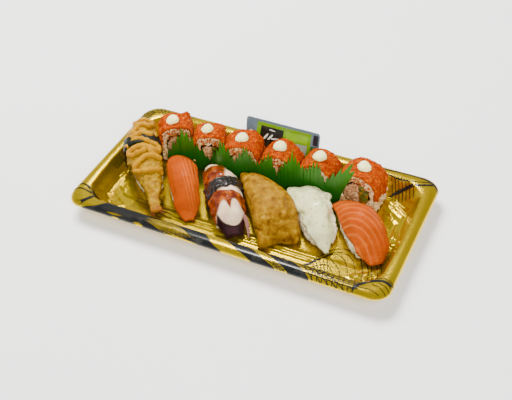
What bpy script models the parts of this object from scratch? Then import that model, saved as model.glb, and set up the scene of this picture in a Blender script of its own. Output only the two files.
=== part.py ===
"""Takeaway sushi tray: a formed tray holding six roe-coated rolls, a prawn, two salmon, an octopus
and a squid nigiri, a stuffed bean-curd pouch, a strip of leaf-shaped grass and a sauce sachet.

+X runs along the tray, +Z is up, and the origin is under the middle of the tray.
Sizes are in millimetres, and MM turns them into metres when a mesh is made.
"""

import math

import bmesh
import bpy
from mathutils import Vector

MM = 0.001
GAP = 0.3
SMOOTH_ANGLE = math.radians(40)

# Tray
HALF_LENGTH = 142.5
HALF_WIDTH = 72.9
WALL = 1.2
FLOOR = 1.2
EDGE_HEIGHT = 14.2
RIM_HEIGHT = 18.0
CORNER_STEPS = 4
END_BOW = 1.5

# Food stands just above the floor
STAND = FLOOR + GAP

# Nigiri lie side by side, turned by this angle away from the tray's width
SLANT = math.radians(37.4)

# Rolls
ROE_DEPTH = 1.6
ROE_START = 8.4
NORI_SHARE = 0.64
NORI_DEPTH = 0.7
CORE_HEIGHT = 16.5
ARCH_STEPS = 10
ARCH_POWER = 1.75

COLOURS = {
    "tray": (0.50, 0.36, 0.02),
    "rice": (0.82, 0.78, 0.66),
    "roe": (0.85, 0.20, 0.01),
    "nori": (0.01, 0.015, 0.01),
    "crab": (0.75, 0.42, 0.30),
    "greens": (0.30, 0.33, 0.06),
    "mayo": (0.82, 0.78, 0.55),
    "salmon": (0.85, 0.22, 0.04),
    "squid": (0.72, 0.70, 0.55),
    "octopus": (0.66, 0.48, 0.42),
    "batter": (0.66, 0.38, 0.08),
    "pouch": (0.50, 0.27, 0.05),
    "leaf": (0.03, 0.16, 0.01),
    "sachet": (0.16, 0.18, 0.22),
}
ROUGHNESS = {"tray": 0.2, "salmon": 0.3, "octopus": 0.3, "squid": 0.25, "sachet": 0.3}


# ---------------------------------------------------------------- helpers

def clear_scene():
    for thing in list(bpy.data.objects):
        bpy.data.objects.remove(thing, do_unlink=True)


def finish_for(slot):
    material = bpy.data.materials.get(slot)
    if material is None:
        material = bpy.data.materials.new(slot)
        material.use_nodes = True
        shader = material.node_tree.nodes["Principled BSDF"]
        shader.inputs["Base Color"].default_value = (*COLOURS[slot], 1.0)
        shader.inputs["Roughness"].default_value = ROUGHNESS.get(slot, 0.5)
    return material


def add_solid(name, points, faces, slot):
    """Make one closed body from points in millimetres, with its faces turned outwards."""
    mesh = bpy.data.meshes.new(name)
    mesh.from_pydata([Vector(point) * MM for point in points], [], faces)
    body = bmesh.new()
    body.from_mesh(mesh)
    bmesh.ops.recalc_face_normals(body, faces=body.faces)
    body.to_mesh(mesh)
    body.free()
    mesh.materials.append(finish_for(slot))
    mesh.shade_smooth()
    mesh.set_sharp_from_angle(angle=SMOOTH_ANGLE)
    solid = bpy.data.objects.new(name, mesh)
    bpy.context.scene.collection.objects.link(solid)
    return solid


def loft(name, rings, slot, closed=False):
    """Join rings of equal length with quads. An open loft is capped at both ends."""
    count = len(rings[0])
    points = [point for ring in rings for point in ring]
    faces = []
    spans = len(rings) if closed else len(rings) - 1
    for span in range(spans):
        here = span * count
        there = ((span + 1) % len(rings)) * count
        for k in range(count):
            after = (k + 1) % count
            faces.append((here + k, here + after, there + after, there + k))
    if not closed:
        faces.append(tuple(range(count)))
        faces.append(tuple(range(len(points) - count, len(points))))
    return add_solid(name, points, faces, slot)


def smooth(knots, t):
    """Read a smooth curve through evenly spaced knots, at t from 0 to 1."""
    place = min(max(t, 0.0), 1.0) * (len(knots) - 1)
    i = min(int(place), len(knots) - 2)
    f = place - i
    before = knots[max(i - 1, 0)]
    a, b = knots[i], knots[i + 1]
    after = knots[min(i + 2, len(knots) - 1)]
    rise = (b - before) / 2
    fall = (after - a) / 2
    return (a * (2 * f**3 - 3 * f**2 + 1) + rise * (f**3 - 2 * f**2 + f)
            + b * (3 * f**2 - 2 * f**3) + fall * (f**3 - f**2))


def slanted(across, along, height):
    """Turn a place across and along the nigiri into the tray's own X, Y and Z."""
    x = across * math.cos(SLANT) + along * math.sin(SLANT)
    y = across * math.sin(SLANT) - along * math.cos(SLANT)
    return Vector((x, y, height))


# ---------------------------------------------------------------- tray

# How far in from the edge, height, corner size, and corner shape from 0, cut straight, to 1, round
TRAY_PROFILE = (
    (0.0, EDGE_HEIGHT, 15.0, 1.0),
    (0.3, 15.4, 15.0, 1.0),
    (1.7, 17.1, 15.0, 1.0),
    (4.5, RIM_HEIGHT, 15.0, 1.0),
    (7.9, RIM_HEIGHT, 15.5, 0.9),
    (10.6, 17.5, 16.0, 0.75),
    (11.8, 16.4, 16.0, 0.6),
    (18.2, 2.6, 15.5, 0.1),
    (19.9, FLOOR, 15.0, 0.0),
    (24.0, FLOOR, 14.0, 0.0),
)


def tray_ring(inset, height, corner, roundness):
    half_x = HALF_LENGTH - inset
    half_y = HALF_WIDTH - inset
    quarter = []
    for step in range(CORNER_STEPS + 1):
        f = step / CORNER_STEPS
        angle = f * math.pi / 2
        round_x = half_x - corner + corner * math.cos(angle)
        round_y = half_y - corner + corner * math.sin(angle)
        cut_x = half_x - corner * f
        cut_y = half_y - corner * (1 - f)
        quarter.append((cut_x + (round_x - cut_x) * roundness,
                        cut_y + (round_y - cut_y) * roundness))
    bow = END_BOW * min(1.0, inset / 10.6) if inset < 24 else END_BOW
    ring = [(half_x + bow, 0.0)]
    ring += quarter
    ring += [(0.0, half_y)]
    ring += [(-x, y) for x, y in reversed(quarter)]
    ring += [(-half_x - bow, 0.0)]
    ring += [(-x, -y) for x, y in quarter]
    ring += [(0.0, -half_y)]
    ring += [(x, -y) for x, y in reversed(quarter)]
    return [(x, y, height) for x, y in ring]


def underside(profile):
    """Offset the tray's profile downwards by its wall, keeping the wall even at each corner."""
    lower = []
    for i, (inset, height, corner, roundness) in enumerate(profile):
        before = profile[max(i - 1, 0)]
        after = profile[min(i + 1, len(profile) - 1)]
        first = Vector((inset - before[0], height - before[1]))
        second = Vector((after[0] - inset, after[1] - height))
        if i == 0:
            first = second
        if i == len(profile) - 1:
            second = first
        first.normalize()
        second.normalize()
        normal = Vector((first.y + second.y, -first.x - second.x)).normalized()
        reach = WALL / max(0.5, normal.dot(Vector((second.y, -second.x))))
        lower.append((inset + normal.x * reach, height + normal.y * reach, corner, roundness))
    return lower


def make_tray():
    top = [tray_ring(*station) for station in TRAY_PROFILE]
    below = [tray_ring(*station) for station in underside(TRAY_PROFILE)]
    loft("tray", list(reversed(top)) + below, "tray")


# ---------------------------------------------------------------- rolls

# Middle x and y, turn in degrees, half width, height, length, and where the dot sits across the top
ROLLS = (
    (-93.4, 36.2, 31.0, 14.8, 36.5, 20.5, -2.5),
    (-59.6, 36.8, 22.0, 13.9, 36.0, 20.5, -2.0),
    (-26.3, 36.3, 11.0, 16.4, 36.5, 24.0, -1.0),
    (8.8, 37.4, 5.0, 16.6, 37.0, 25.0, -0.5),
    (44.0, 38.2, 1.0, 16.7, 37.0, 25.0, 0.0),
    (81.6, 39.6, -4.0, 18.3, 37.5, 24.0, 1.5),
)


def arch(half, top, side, start):
    """Points up one side, over the rounded peak and down the other side."""
    points = [(-half, start), (-half, (start + side) / 2)]
    for step in range(ARCH_STEPS + 1):
        angle = math.pi * (1 - step / ARCH_STEPS)
        reach = abs(math.cos(angle)) ** (2 / ARCH_POWER)
        rise = abs(math.sin(angle)) ** (2 / ARCH_POWER)
        points.append((math.copysign(half * reach, math.cos(angle)), side + (top - side) * rise))
    points += [(half, (start + side) / 2), (half, start)]
    return points


def roof_height(across, half, top, side):
    """Height of the arch at a place across it."""
    share = min(abs(across) / half, 1.0)
    return side + (top - side) * (1 - share ** ARCH_POWER) ** (1 / ARCH_POWER)


def core_arc(radius, steps, first=0.0, last=360.0):
    span = last - first
    count = steps if span >= 360 else steps + 1
    return [(radius * math.cos(math.radians(first + span * k / steps)),
             CORE_HEIGHT + radius * math.sin(math.radians(first + span * k / steps)))
            for k in range(count)]


def make_roll(number, middle_x, middle_y, turn, half, height, length, dot_shift):
    name = f"roll_{number}"
    angle = math.radians(turn)
    side = height * 0.55

    def place(across, along, up):
        x = middle_x + across * math.cos(angle) - along * math.sin(angle)
        y = middle_y + across * math.sin(angle) + along * math.cos(angle)
        return (x, y, STAND + up)

    def extrude(label, outline, slot, stations):
        rings = [[place(x * swell, along, z) for x, z in outline] for along, swell in stations]
        return loft(f"{name}_{label}", rings, slot)

    end = length / 2
    stations = ((-end, 1.0), (0.0, 1.015), (end, 1.0))
    straight = ((-end, 1.0), (end, 1.0))

    nori_radius = NORI_SHARE * half
    inner = ROE_DEPTH + GAP
    foot = [(-half / 4, 0.0), (-half + 3.0, 0.0), (-half + 0.6, 1.8), (-half, 6.2)]
    crown = arch(half - inner, height - inner, side, ROE_START - GAP)
    outline = foot + crown + [(-x, z) for x, z in reversed(foot)]
    hole_radius = nori_radius + 2.4 * GAP
    first = math.atan2(-CORE_HEIGHT, -half / 4)
    sweep = 2 * math.pi - 2 * (-math.pi / 2 - first)
    hole = []
    for k in range(len(outline)):
        spin = first - sweep * k / (len(outline) - 1)
        hole.append((hole_radius * math.cos(spin), CORE_HEIGHT + hole_radius * math.sin(spin)))
    rings = []
    for loop, order in ((outline, stations), (hole, tuple(reversed(straight)))):
        rings += [[place(x * swell, along, z) for x, z in loop] for along, swell in order]
    loft(f"{name}_rice", rings, "rice", closed=True)

    cover = arch(half, height, side, ROE_START)
    lining = arch(half - ROE_DEPTH, height - ROE_DEPTH, side, ROE_START)
    extrude("roe", cover + lining[::-1], "roe", stations)

    nori_outer = core_arc(nori_radius, 12)
    nori_inner = core_arc(nori_radius - NORI_DEPTH, 12)
    rings = [[place(x, -end, z) for x, z in nori_outer], [place(x, end, z) for x, z in nori_outer],
             [place(x, end, z) for x, z in nori_inner], [place(x, -end, z) for x, z in nori_inner]]
    loft(f"{name}_nori", rings, "nori", closed=True)

    core = nori_radius - NORI_DEPTH - 2.5 * GAP
    extrude("crab", core_arc(core, 8, 80, 292), "crab", straight)
    extrude("greens", core_arc(core, 6, -62, 74), "greens", straight)

    make_dot(f"{name}_mayo", place, half, height, side, dot_shift)


def make_dot(name, place, half, height, side, shift):
    """A squeezed dot of mayonnaise that follows the top of the roll."""
    radius = 5.8
    steps = 10
    levels = ((0.25, 0.0), (0.6, 0.0), (0.92, 0.0), (1.0, 1.0), (0.8, 2.6), (0.4, 3.4))

    def at(share, lift, step):
        spin = 2 * math.pi * step / steps
        across = shift + radius * share * math.cos(spin)
        along = radius * share * math.sin(spin)
        roof = roof_height(across, half, height, side)
        return place(across, along, roof + GAP + 0.2 + lift)

    rings = [[at(share, lift, step) for step in range(steps)] for share, lift in levels]
    loft(name, rings, "mayo")


# ---------------------------------------------------------------- nigiri

def make_block(name, slot, course, half, underneath, stations, columns, back_square=0.0):
    """A rounded block that stands on the floor and rises to a given underside or top."""
    rings = []
    for t, spread, tall in stations:
        across, along = course(t)
        wide = half(t) * spread
        crest = STAND + (underneath(t, 0.0) - STAND) * tall
        rise = crest - STAND
        ring = [(-0.86 * wide, STAND), (-wide, STAND + 0.24 * rise), (-wide, STAND + 0.55 * rise)]
        for k in range(columns + 1):
            s = -0.9 + 1.8 * k / columns
            limit = underneath(t, s * wide)
            rounded = STAND + rise * (1 - 0.28 * abs(s) ** 3)
            ring.append((s * wide, min(limit, rounded)))
        ring += [(wide, STAND + 0.55 * rise), (wide, STAND + 0.24 * rise), (0.86 * wide, STAND)]
        rings.append([slanted(across + v, along + back_square * v * (1 - t) ** 2, z)
                      for v, z in ring])
    return loft(name, rings, slot)


# Share of the way along, share of the width, and share of the height of each rice section
RICE_STATIONS = ((0.0, 0.66, 0.62), (0.05, 0.9, 0.9), (0.16, 1.0, 1.0), (0.36, 1.02, 1.0),
                 (0.58, 1.0, 1.0), (0.8, 0.98, 1.0), (0.94, 0.88, 0.88), (1.0, 0.62, 0.6))


class Topping:
    """A slice draped over rice. Its knots run evenly from its back end to its tip."""

    def __init__(self, name, slot, start, end, across, half, height, droop, thick, square=0.5):
        self.name = name
        self.slot = slot
        self.start = start
        self.end = end
        self.across = across
        self.half = half
        self.height = height
        self.droop = droop
        self.thick = thick
        self.square = square

    def under(self, t, v):
        share = v / smooth(self.half, t)
        return smooth(self.height, t) - smooth(self.droop, t) * share * share

    def over(self, t, v):
        share = min(abs(v) / smooth(self.half, t), 1.0)
        return self.under(t, v) + smooth(self.thick, t) * (1 - 0.7 * share**4)

    def place(self, t, v, z):
        along = self.start + (self.end - self.start) * t + self.square * v * (1 - t) ** 2
        return slanted(smooth(self.across, t) + v, along, z)

    def make(self, rows=11, columns=6):
        points = []
        for surface in (self.over, self.under):
            for row in range(rows + 1):
                t = row / rows
                for column in range(columns + 1):
                    v = smooth(self.half, t) * (2 * column / columns - 1)
                    points.append(self.place(t, v, surface(t, v)))
        width = columns + 1
        sheet = (rows + 1) * width
        faces = []
        for row in range(rows):
            for column in range(columns):
                a = row * width + column
                faces.append((a, a + 1, a + 1 + width, a + width))
                faces.append((sheet + a, sheet + a + width, sheet + a + 1 + width, sheet + a + 1))
        rim = [column for column in range(columns)]
        rim += [row * width + columns for row in range(rows)]
        rim += [rows * width + column for column in range(columns, 0, -1)]
        rim += [row * width for row in range(rows, 0, -1)]
        for k, a in enumerate(rim):
            b = rim[(k + 1) % len(rim)]
            faces.append((a, b, sheet + b, sheet + a))
        add_solid(f"{self.name}_{self.slot}", points, faces, self.slot)

    def make_rice(self, first, last, half, shift=0.0, crown=60.0):
        """Rice under the slice, from one share of its length to another."""
        clear = 3 * GAP

        def to_slice(t):
            return first + (last - first) * t

        def course(t):
            return (smooth(self.across, to_slice(t)) + shift,
                    self.start + (self.end - self.start) * to_slice(t))

        def top(t, v):
            return min(self.under(to_slice(t), v + shift) - clear, crown)

        make_block(f"{self.name}_rice", "rice", course, lambda t: smooth(half, t), top,
                   RICE_STATIONS, 5, self.square)

    def make_band(self, place_along, breadth, lean, foot):
        """A strip of nori over the slice and down both its sides."""
        depth = 0.7
        rings = []
        for end in (-0.5, 0.5):
            inside = []
            outside = []
            for k in range(9):
                s = -math.cos(math.pi * k / 8)
                t = place_along + (end * breadth + lean * s) / (self.end - self.start)
                wide = smooth(self.half, t) + 2 * GAP
                z = self.over(t, s * smooth(self.half, t)) + 2.5 * GAP
                inside.append(self.place(t, s * wide, z))
                outside.append(self.place(t, s * (wide + depth), z + depth))
            for side, edge in ((0, -1), (8, 1)):
                t = place_along + (end * breadth + lean * edge) / (self.end - self.start)
                wide = smooth(self.half, t) + 2 * GAP
                low_in = self.place(t, edge * wide, foot)
                low_out = self.place(t, edge * (wide + depth), foot)
                if side == 0:
                    inside.insert(0, low_in)
                    outside.insert(0, low_out)
                else:
                    inside.append(low_in)
                    outside.append(low_out)
            rings.append(inside + outside[::-1])
        loft(f"{self.name}_nori", rings, "nori")


SALMON_LEFT = Topping(
    "salmon_left", "salmon", -60.5, 9.0,
    across=(-52.5, -53.5, -55.0, -55.8, -56.4, -56.6),
    half=(9.5, 12.3, 12.6, 12.0, 9.5, 2.6),
    height=(14.5, 20.5, 21.5, 20.0, 12.5, 3.4),
    droop=(3.0, 4.5, 5.0, 4.5, 2.5, 0.4),
    thick=(3.2, 5.0, 5.4, 5.2, 4.4, 1.8))

OCTOPUS = Topping(
    "octopus_nigiri", "octopus", -40.0, 38.0,
    across=(-24.5, -23.9, -24.0, -24.2, -24.6, -23.6),
    half=(9.5, 14.0, 14.4, 14.4, 13.0, 6.5),
    height=(13.5, 18.5, 19.5, 18.5, 13.5, 4.5),
    droop=(2.5, 4.5, 5.5, 5.5, 4.0, 1.0),
    thick=(4.0, 6.4, 7.0, 7.0, 6.4, 3.6))

SQUID = Topping(
    "squid_nigiri", "squid", 9.0, 74.0,
    across=(43.0, 43.0, 43.2, 43.4, 43.6, 43.6),
    half=(11.0, 12.2, 12.0, 11.0, 8.5, 1.6),
    height=(17.0, 20.5, 20.5, 18.5, 13.0, 4.0),
    droop=(2.5, 3.5, 4.0, 4.0, 2.5, 0.3),
    thick=(3.2, 4.2, 4.4, 4.4, 4.0, 1.6))

SALMON_RIGHT = Topping(
    "salmon_right", "salmon", 33.5, 95.0,
    across=(75.5, 77.0, 77.2, 76.6, 75.4, 74.4),
    half=(12.0, 16.2, 16.6, 15.6, 11.5, 3.2),
    height=(15.5, 20.5, 21.5, 20.0, 13.0, 3.6),
    droop=(4.5, 7.5, 8.0, 7.0, 3.5, 0.5),
    thick=(3.2, 5.0, 5.4, 5.2, 4.4, 1.8))


class Prawn(Topping):
    """A battered prawn: round in section, with a flat fanned tail at its tip."""

    depth = (5.5, 8.4, 9.0, 8.6, 7.6, 5.2, 3.2, 1.5)

    def bulge(self, t, v):
        share = min(abs(v) / smooth(self.half, t), 1.0)
        return smooth(self.depth, t) * math.sqrt(1 - share * share)

    def under(self, t, v):
        return smooth(self.height, t) - self.bulge(t, v)

    def over(self, t, v):
        return smooth(self.height, t) + self.bulge(t, v)

    def make(self, rows=16, columns=12):
        rings = []
        for row in range(rows + 1):
            t = row / rows
            tuck = 0.55 if row == 0 else 1.0
            ring = []
            for column in range(columns):
                spin = 2 * math.pi * column / columns
                v = smooth(self.half, t) * tuck * math.cos(spin)
                z = smooth(self.height, t) + smooth(self.depth, t) * tuck * math.sin(spin)
                ring.append(self.place(t, v, z))
            rings.append(ring)
        loft(f"{self.name}_prawn", rings, self.slot)


PRAWN = Prawn(
    "prawn_nigiri", "batter", -104.0, 8.0,
    across=(-79.5, -83.0, -84.6, -84.3, -83.2, -82.2, -82.4, -82.6),
    half=(8.0, 13.4, 14.8, 13.8, 11.2, 7.0, 4.2, 5.0),
    height=(26.0, 25.2, 23.2, 21.0, 18.8, 17.4, 18.0, 19.6),
    droop=(0.0, 0.0), thick=(0.0, 0.0), square=0.0)


# The pouch's left and right sides at evenly spaced places, and its height along the middle
POUCH_START = -28.0
POUCH_END = 54.5
POUCH_LEFT = (-6.5, -7.0, -7.2, -7.2, -7.2, -7.0, -5.2)
POUCH_RIGHT = (-2.5, 11.0, 19.5, 26.5, 29.0, 29.0, 24.0)
POUCH_HEIGHT = (15.0, 22.5, 25.5, 27.0, 26.5, 22.5, 9.0)


def make_pouch():
    def middle(t):
        across = (smooth(POUCH_LEFT, t) + smooth(POUCH_RIGHT, t)) / 2
        return across, POUCH_START + (POUCH_END - POUCH_START) * t

    def half(t):
        return (smooth(POUCH_RIGHT, t) - smooth(POUCH_LEFT, t)) / 2

    def top(t, v):
        lean = 0.10 * v
        return smooth(POUCH_HEIGHT, t) + lean

    steps = 12
    stations = [(k / steps, 1.0, 1.0) for k in range(steps + 1)]
    make_block("bean_curd_pouch", "pouch", middle, half, top, stations, 8)


def make_nigiri():
    SALMON_LEFT.make()
    SALMON_LEFT.make_rice(0.06, 0.8, (9.5, 11.4, 11.8, 11.4, 9.5))
    OCTOPUS.make()
    OCTOPUS.make_rice(0.05, 0.86, (10.5, 13.4, 13.8, 13.4, 11.0))
    OCTOPUS.make_band(0.44, 11.0, -4.5, 5.0)
    SQUID.make()
    SQUID.make_rice(0.06, 0.82, (11.5, 14.0, 14.4, 13.6, 11.0), shift=1.6)
    SALMON_RIGHT.make()
    SALMON_RIGHT.make_rice(0.06, 0.82, (11.0, 14.0, 14.2, 13.4, 10.0), shift=-1.0)
    PRAWN.make()
    PRAWN.make_rice(0.2, 0.62, (9.5, 11.6, 11.8, 11.0, 9.0), shift=1.0, crown=14.0)
    PRAWN.make_band(0.27, 10.0, 0.0, 8.0)
    make_pouch()


# ---------------------------------------------------------------- grass strip and sachet

# Route of the strip seen from above
LEAF_ROUTE = ((-92.0, 15.6), (-80.0, 19.0), (-69.5, 21.1), (-56.0, 22.6), (-43.0, 19.4),
              (-30.0, 20.6), (-16.0, 21.8), (-4.0, 21.0), (12.0, 22.0), (27.0, 23.0),
              (44.0, 23.0), (60.0, 23.8), (72.0, 24.6), (83.0, 24.2))
LEAF_DEPTH = 0.5
# Middle of each hump, peak height, half spread, how far its top fans out, and the peak's skew
LEAF_HUMPS = ((-78.0, 43.0, 13.5, 2.0, 1.0), (-48.0, 40.5, 13.5, 4.0, 1.3),
              (-21.0, 38.5, 11.5, 1.5, 0.9), (4.0, 44.0, 11.0, 2.6, 1.2),
              (26.0, 48.0, 10.5, 1.0, 1.0), (46.5, 45.0, 9.5, 1.0, 1.1),
              (67.5, 49.0, 10.5, 12.0, 2.2))
LEAF_LOW = 20.0
LEAF_FOOT = STAND + 0.3
SPIKES = 5


def route_at(x):
    xs = [point[0] for point in LEAF_ROUTE]
    for k in range(len(xs) - 1):
        if x <= xs[k + 1] or k == len(xs) - 2:
            f = min(max((x - xs[k]) / (xs[k + 1] - xs[k]), 0.0), 1.0)
            ease = f * f * (3 - 2 * f)
            return LEAF_ROUTE[k][1] + (LEAF_ROUTE[k + 1][1] - LEAF_ROUTE[k][1]) * ease
    return LEAF_ROUTE[-1][1]


def leaf_outline():
    """Foot x, top x and top height of each notch and spike, from left to right."""
    outline = []
    for middle, peak, spread, fan, skew in LEAF_HUMPS:
        for spike in range(SPIKES):
            for height_share, step in ((0.5, 0.1), (1.0, 0.5)):
                f = (spike + step) / SPIKES
                envelope = math.sin(math.pi * (0.12 + 0.76 * f ** skew)) ** 1.2
                x = middle + (2 * f - 1) * spread
                top = LEAF_LOW + (peak - LEAF_LOW) * envelope * height_share
                outline.append((x, x + fan * f * (top - LEAF_FOOT) / (peak - LEAF_FOOT), top))
    last_x = LEAF_HUMPS[-1][0] + LEAF_HUMPS[-1][2]
    outline.append((last_x, last_x + LEAF_HUMPS[-1][3] * 0.4, LEAF_LOW))
    return outline


def make_leaf():
    rings = []
    for foot_x, top_x, top in leaf_outline():
        y = route_at(foot_x)
        rings.append([(foot_x, y, LEAF_FOOT), (top_x, y, top),
                      (top_x, y + LEAF_DEPTH, top), (foot_x, y + LEAF_DEPTH, LEAF_FOOT)])
    loft("leaf_strip", rings, "leaf")


SACHET_HALF = 35.0
SACHET_TALL = 40.5
SACHET_FOOT = (53.9, STAND + 1.2)
SACHET_LEAN = math.radians(12.5)
SACHET_CORNER = 4.0


def make_sachet():
    """A thin pillow that stands behind the rolls and leans back, with a flat sealed border."""
    corners = []
    for centre_x, centre_z, first in ((1, 1, 0), (-1, 1, 90), (-1, -1, 180), (1, -1, 270)):
        for step in range(4):
            angle = math.radians(first + 30 * step)
            corners.append((centre_x * (SACHET_HALF - SACHET_CORNER) + SACHET_CORNER * math.cos(angle),
                            SACHET_TALL / 2 + centre_z * (SACHET_TALL / 2 - SACHET_CORNER)
                            + SACHET_CORNER * math.sin(angle)))

    def place(x, up, out):
        return (x, SACHET_FOOT[0] + up * math.sin(SACHET_LEAN) - out * math.cos(SACHET_LEAN),
                SACHET_FOOT[1] + up * math.cos(SACHET_LEAN) + out * math.sin(SACHET_LEAN))

    def shrunk(share_x, share_z, out):
        middle = SACHET_TALL / 2
        return [place(x * share_x, middle + (z - middle) * share_z, out) for x, z in corners]

    levels = ((0.55, 0.45, 1.9), (0.86, 0.78, 1.2), (0.92, 0.88, 0.35), (1.0, 1.0, 0.3),
              (1.0, 1.0, -0.3), (0.92, 0.88, -0.35), (0.86, 0.78, -1.2), (0.55, 0.45, -1.9))
    loft("sauce_sachet", [shrunk(*level) for level in levels], "sachet")


def main():
    clear_scene()
    make_tray()
    for number, row in enumerate(ROLLS, start=1):
        make_roll(number, *row)
    make_nigiri()
    make_leaf()
    make_sachet()


main()
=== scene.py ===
"""Looks of the takeaway sushi tray: a formed gold tray with black print, roe rolls, nigiri, a bean-curd
pouch, a cut-grass strip and a sauce sachet. Sizes are in millimetres, and MM turns them into metres."""
import math

import bpy
import numpy as np
from mathutils import Matrix, Vector
from mathutils.bvhtree import BVHTree


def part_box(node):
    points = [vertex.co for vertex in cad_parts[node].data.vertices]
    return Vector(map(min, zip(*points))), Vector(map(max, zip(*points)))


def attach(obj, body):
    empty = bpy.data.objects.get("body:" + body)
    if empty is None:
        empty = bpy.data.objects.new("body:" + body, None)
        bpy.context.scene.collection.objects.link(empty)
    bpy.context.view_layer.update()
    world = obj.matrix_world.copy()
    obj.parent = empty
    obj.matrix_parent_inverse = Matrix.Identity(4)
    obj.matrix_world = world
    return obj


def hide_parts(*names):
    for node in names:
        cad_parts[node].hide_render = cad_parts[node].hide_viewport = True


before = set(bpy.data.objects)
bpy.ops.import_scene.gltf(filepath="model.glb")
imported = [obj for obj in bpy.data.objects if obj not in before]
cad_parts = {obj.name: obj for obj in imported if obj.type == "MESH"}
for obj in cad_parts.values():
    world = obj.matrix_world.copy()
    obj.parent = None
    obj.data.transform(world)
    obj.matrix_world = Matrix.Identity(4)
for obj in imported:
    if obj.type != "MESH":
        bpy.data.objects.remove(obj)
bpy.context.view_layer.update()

MM = 0.001
SLANT = math.radians(37.4)  # turn of the nigiri in the tray
ABOVE_FOOD = 60
HALF_LENGTH, HALF_WIDTH = (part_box("tray")[1] / MM).xy


# ---------------------------------------------------------------- numbers

def lattice(cells, seed):
    """A steady random value from 0 to 1 for every whole-number cell."""
    whole = cells.astype(np.int64)
    mixed = whole[:, 0] * 374761393 + whole[:, 1] * 668265263 + whole[:, 2] * 1442695041 + seed * 974634777
    mixed = (mixed ^ (mixed >> 13)) * 1274126177
    mixed = mixed ^ (mixed >> 16)
    return (mixed & 0xFFFFFF) / 0xFFFFFF


def lumps(points, size, seed=0):
    """Smooth random height from -1 to 1, with lumps of a given size."""
    place = points / size
    base = np.floor(place)
    part = place - base
    part = part * part * (3 - 2 * part)
    total = np.zeros(len(points))
    for corner in np.ndindex(2, 2, 2):
        weight = np.prod(np.where(corner, part, 1 - part), axis=1)
        total += weight * lattice(base + corner, seed)
    return 2 * total - 1


def beads(points, size, seed=0):
    """Height from 0 to 1 of round beads packed side by side."""
    place = points / size
    base = np.floor(place)
    nearest = np.full(len(points), 9.0)
    for corner in np.ndindex(3, 3, 3):
        cell = base + corner - 1
        centre = cell + np.stack([lattice(cell, seed + k) for k in (1, 2, 3)], axis=1)
        nearest = np.minimum(nearest, ((place - centre) ** 2).sum(axis=1))
    return np.clip(1 - 1.7 * nearest, 0, 1)


def ease(value, low, high):
    share = np.clip((value - low) / (high - low), 0, 1)
    return share * share * (3 - 2 * share)


def along_curve(knots, count):
    """Points on a smooth curve through knots of any dimension."""
    knots = np.asarray(knots, float)
    place = np.linspace(0, len(knots) - 1, count)
    i = np.minimum(place.astype(int), len(knots) - 2)
    f = (place - i)[:, None]
    a, b = knots[i], knots[i + 1]
    rise = (b - knots[np.maximum(i - 1, 0)]) / 2
    fall = (knots[np.minimum(i + 2, len(knots) - 1)] - a) / 2
    return (a * (2 * f**3 - 3 * f**2 + 1) + rise * (f**3 - 2 * f**2 + f)
            + b * (3 * f**2 - 2 * f**3) + fall * (f**3 - f**2))


def to_slant(points):
    """Places across and along the nigiri, which lie turned in the tray."""
    across = points[:, 0] * math.cos(SLANT) + points[:, 1] * math.sin(SLANT)
    along = points[:, 0] * math.sin(SLANT) - points[:, 1] * math.cos(SLANT)
    return across, along


def from_slant(across, along, height):
    return Vector((across * math.cos(SLANT) + along * math.sin(SLANT),
                   across * math.sin(SLANT) - along * math.cos(SLANT), height))


def slide(points, distance):
    """Move points across the nigiri."""
    points[:, 0] += distance * math.cos(SLANT)
    points[:, 1] += distance * math.sin(SLANT)


# ---------------------------------------------------------------- modelling

def deselect():
    if bpy.context.object and bpy.context.object.mode != "OBJECT":
        bpy.ops.object.mode_set(mode="OBJECT")
    bpy.ops.object.select_all(action="DESELECT")


def pick(piece):
    deselect()
    piece.select_set(True)
    bpy.context.view_layer.objects.active = piece
    return piece


def named(name):
    """Name the primitive that was just added."""
    piece = bpy.context.object
    piece.name = name
    piece.data.name = name
    return piece


def edit_all(piece, *steps):
    """Run edit-mode steps on the whole mesh."""
    pick(piece)
    bpy.ops.object.mode_set(mode="EDIT")
    bpy.ops.mesh.select_all(action="SELECT")
    for step in steps:
        step()
    bpy.ops.object.mode_set(mode="OBJECT")


def weld(distance=0.00001):
    bpy.ops.mesh.remove_doubles(threshold=distance)


def face_out():
    bpy.ops.mesh.normals_make_consistent(inside=False)


def modify(piece, kind, **settings):
    """Add a modifier and apply it."""
    pick(piece)
    modifier = piece.modifiers.new(kind.title(), kind)
    for name, value in settings.items():
        setattr(modifier, name, value)
    bpy.ops.object.modifier_apply(modifier=modifier.name)


def points_of(piece):
    flat = np.empty(len(piece.data.vertices) * 3)
    piece.data.vertices.foreach_get("co", flat)
    return flat.reshape(-1, 3) / MM


def normals_of(piece):
    flat = np.empty(len(piece.data.vertices) * 3)
    piece.data.vertex_normals.foreach_get("vector", flat)
    return flat.reshape(-1, 3)


def move_points(piece, points):
    piece.data.vertices.foreach_set("co", (points * MM).ravel())
    piece.data.update()


def swell(piece, heights):
    """Push each point out along its normal."""
    move_points(piece, points_of(piece) + normals_of(piece) * heights[:, None])


def surface_tree(piece):
    """The surface, ready for rays to be cast at it."""
    return BVHTree.FromPolygons([vertex.co.copy() for vertex in piece.data.vertices],
                                [tuple(face.vertices) for face in piece.data.polygons])


def mark(piece, name, values):
    """Keep a number at each point for the material to read."""
    layer = piece.data.attributes.new(name, "FLOAT", "POINT")
    layer.data.foreach_set("value", np.ascontiguousarray(values, dtype=np.float32))


def join(name, pieces):
    deselect()
    for piece in pieces:
        piece.select_set(True)
    bpy.context.view_layer.objects.active = pieces[0]
    if len(pieces) > 1:
        bpy.ops.object.join()
    return named(name)


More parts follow.
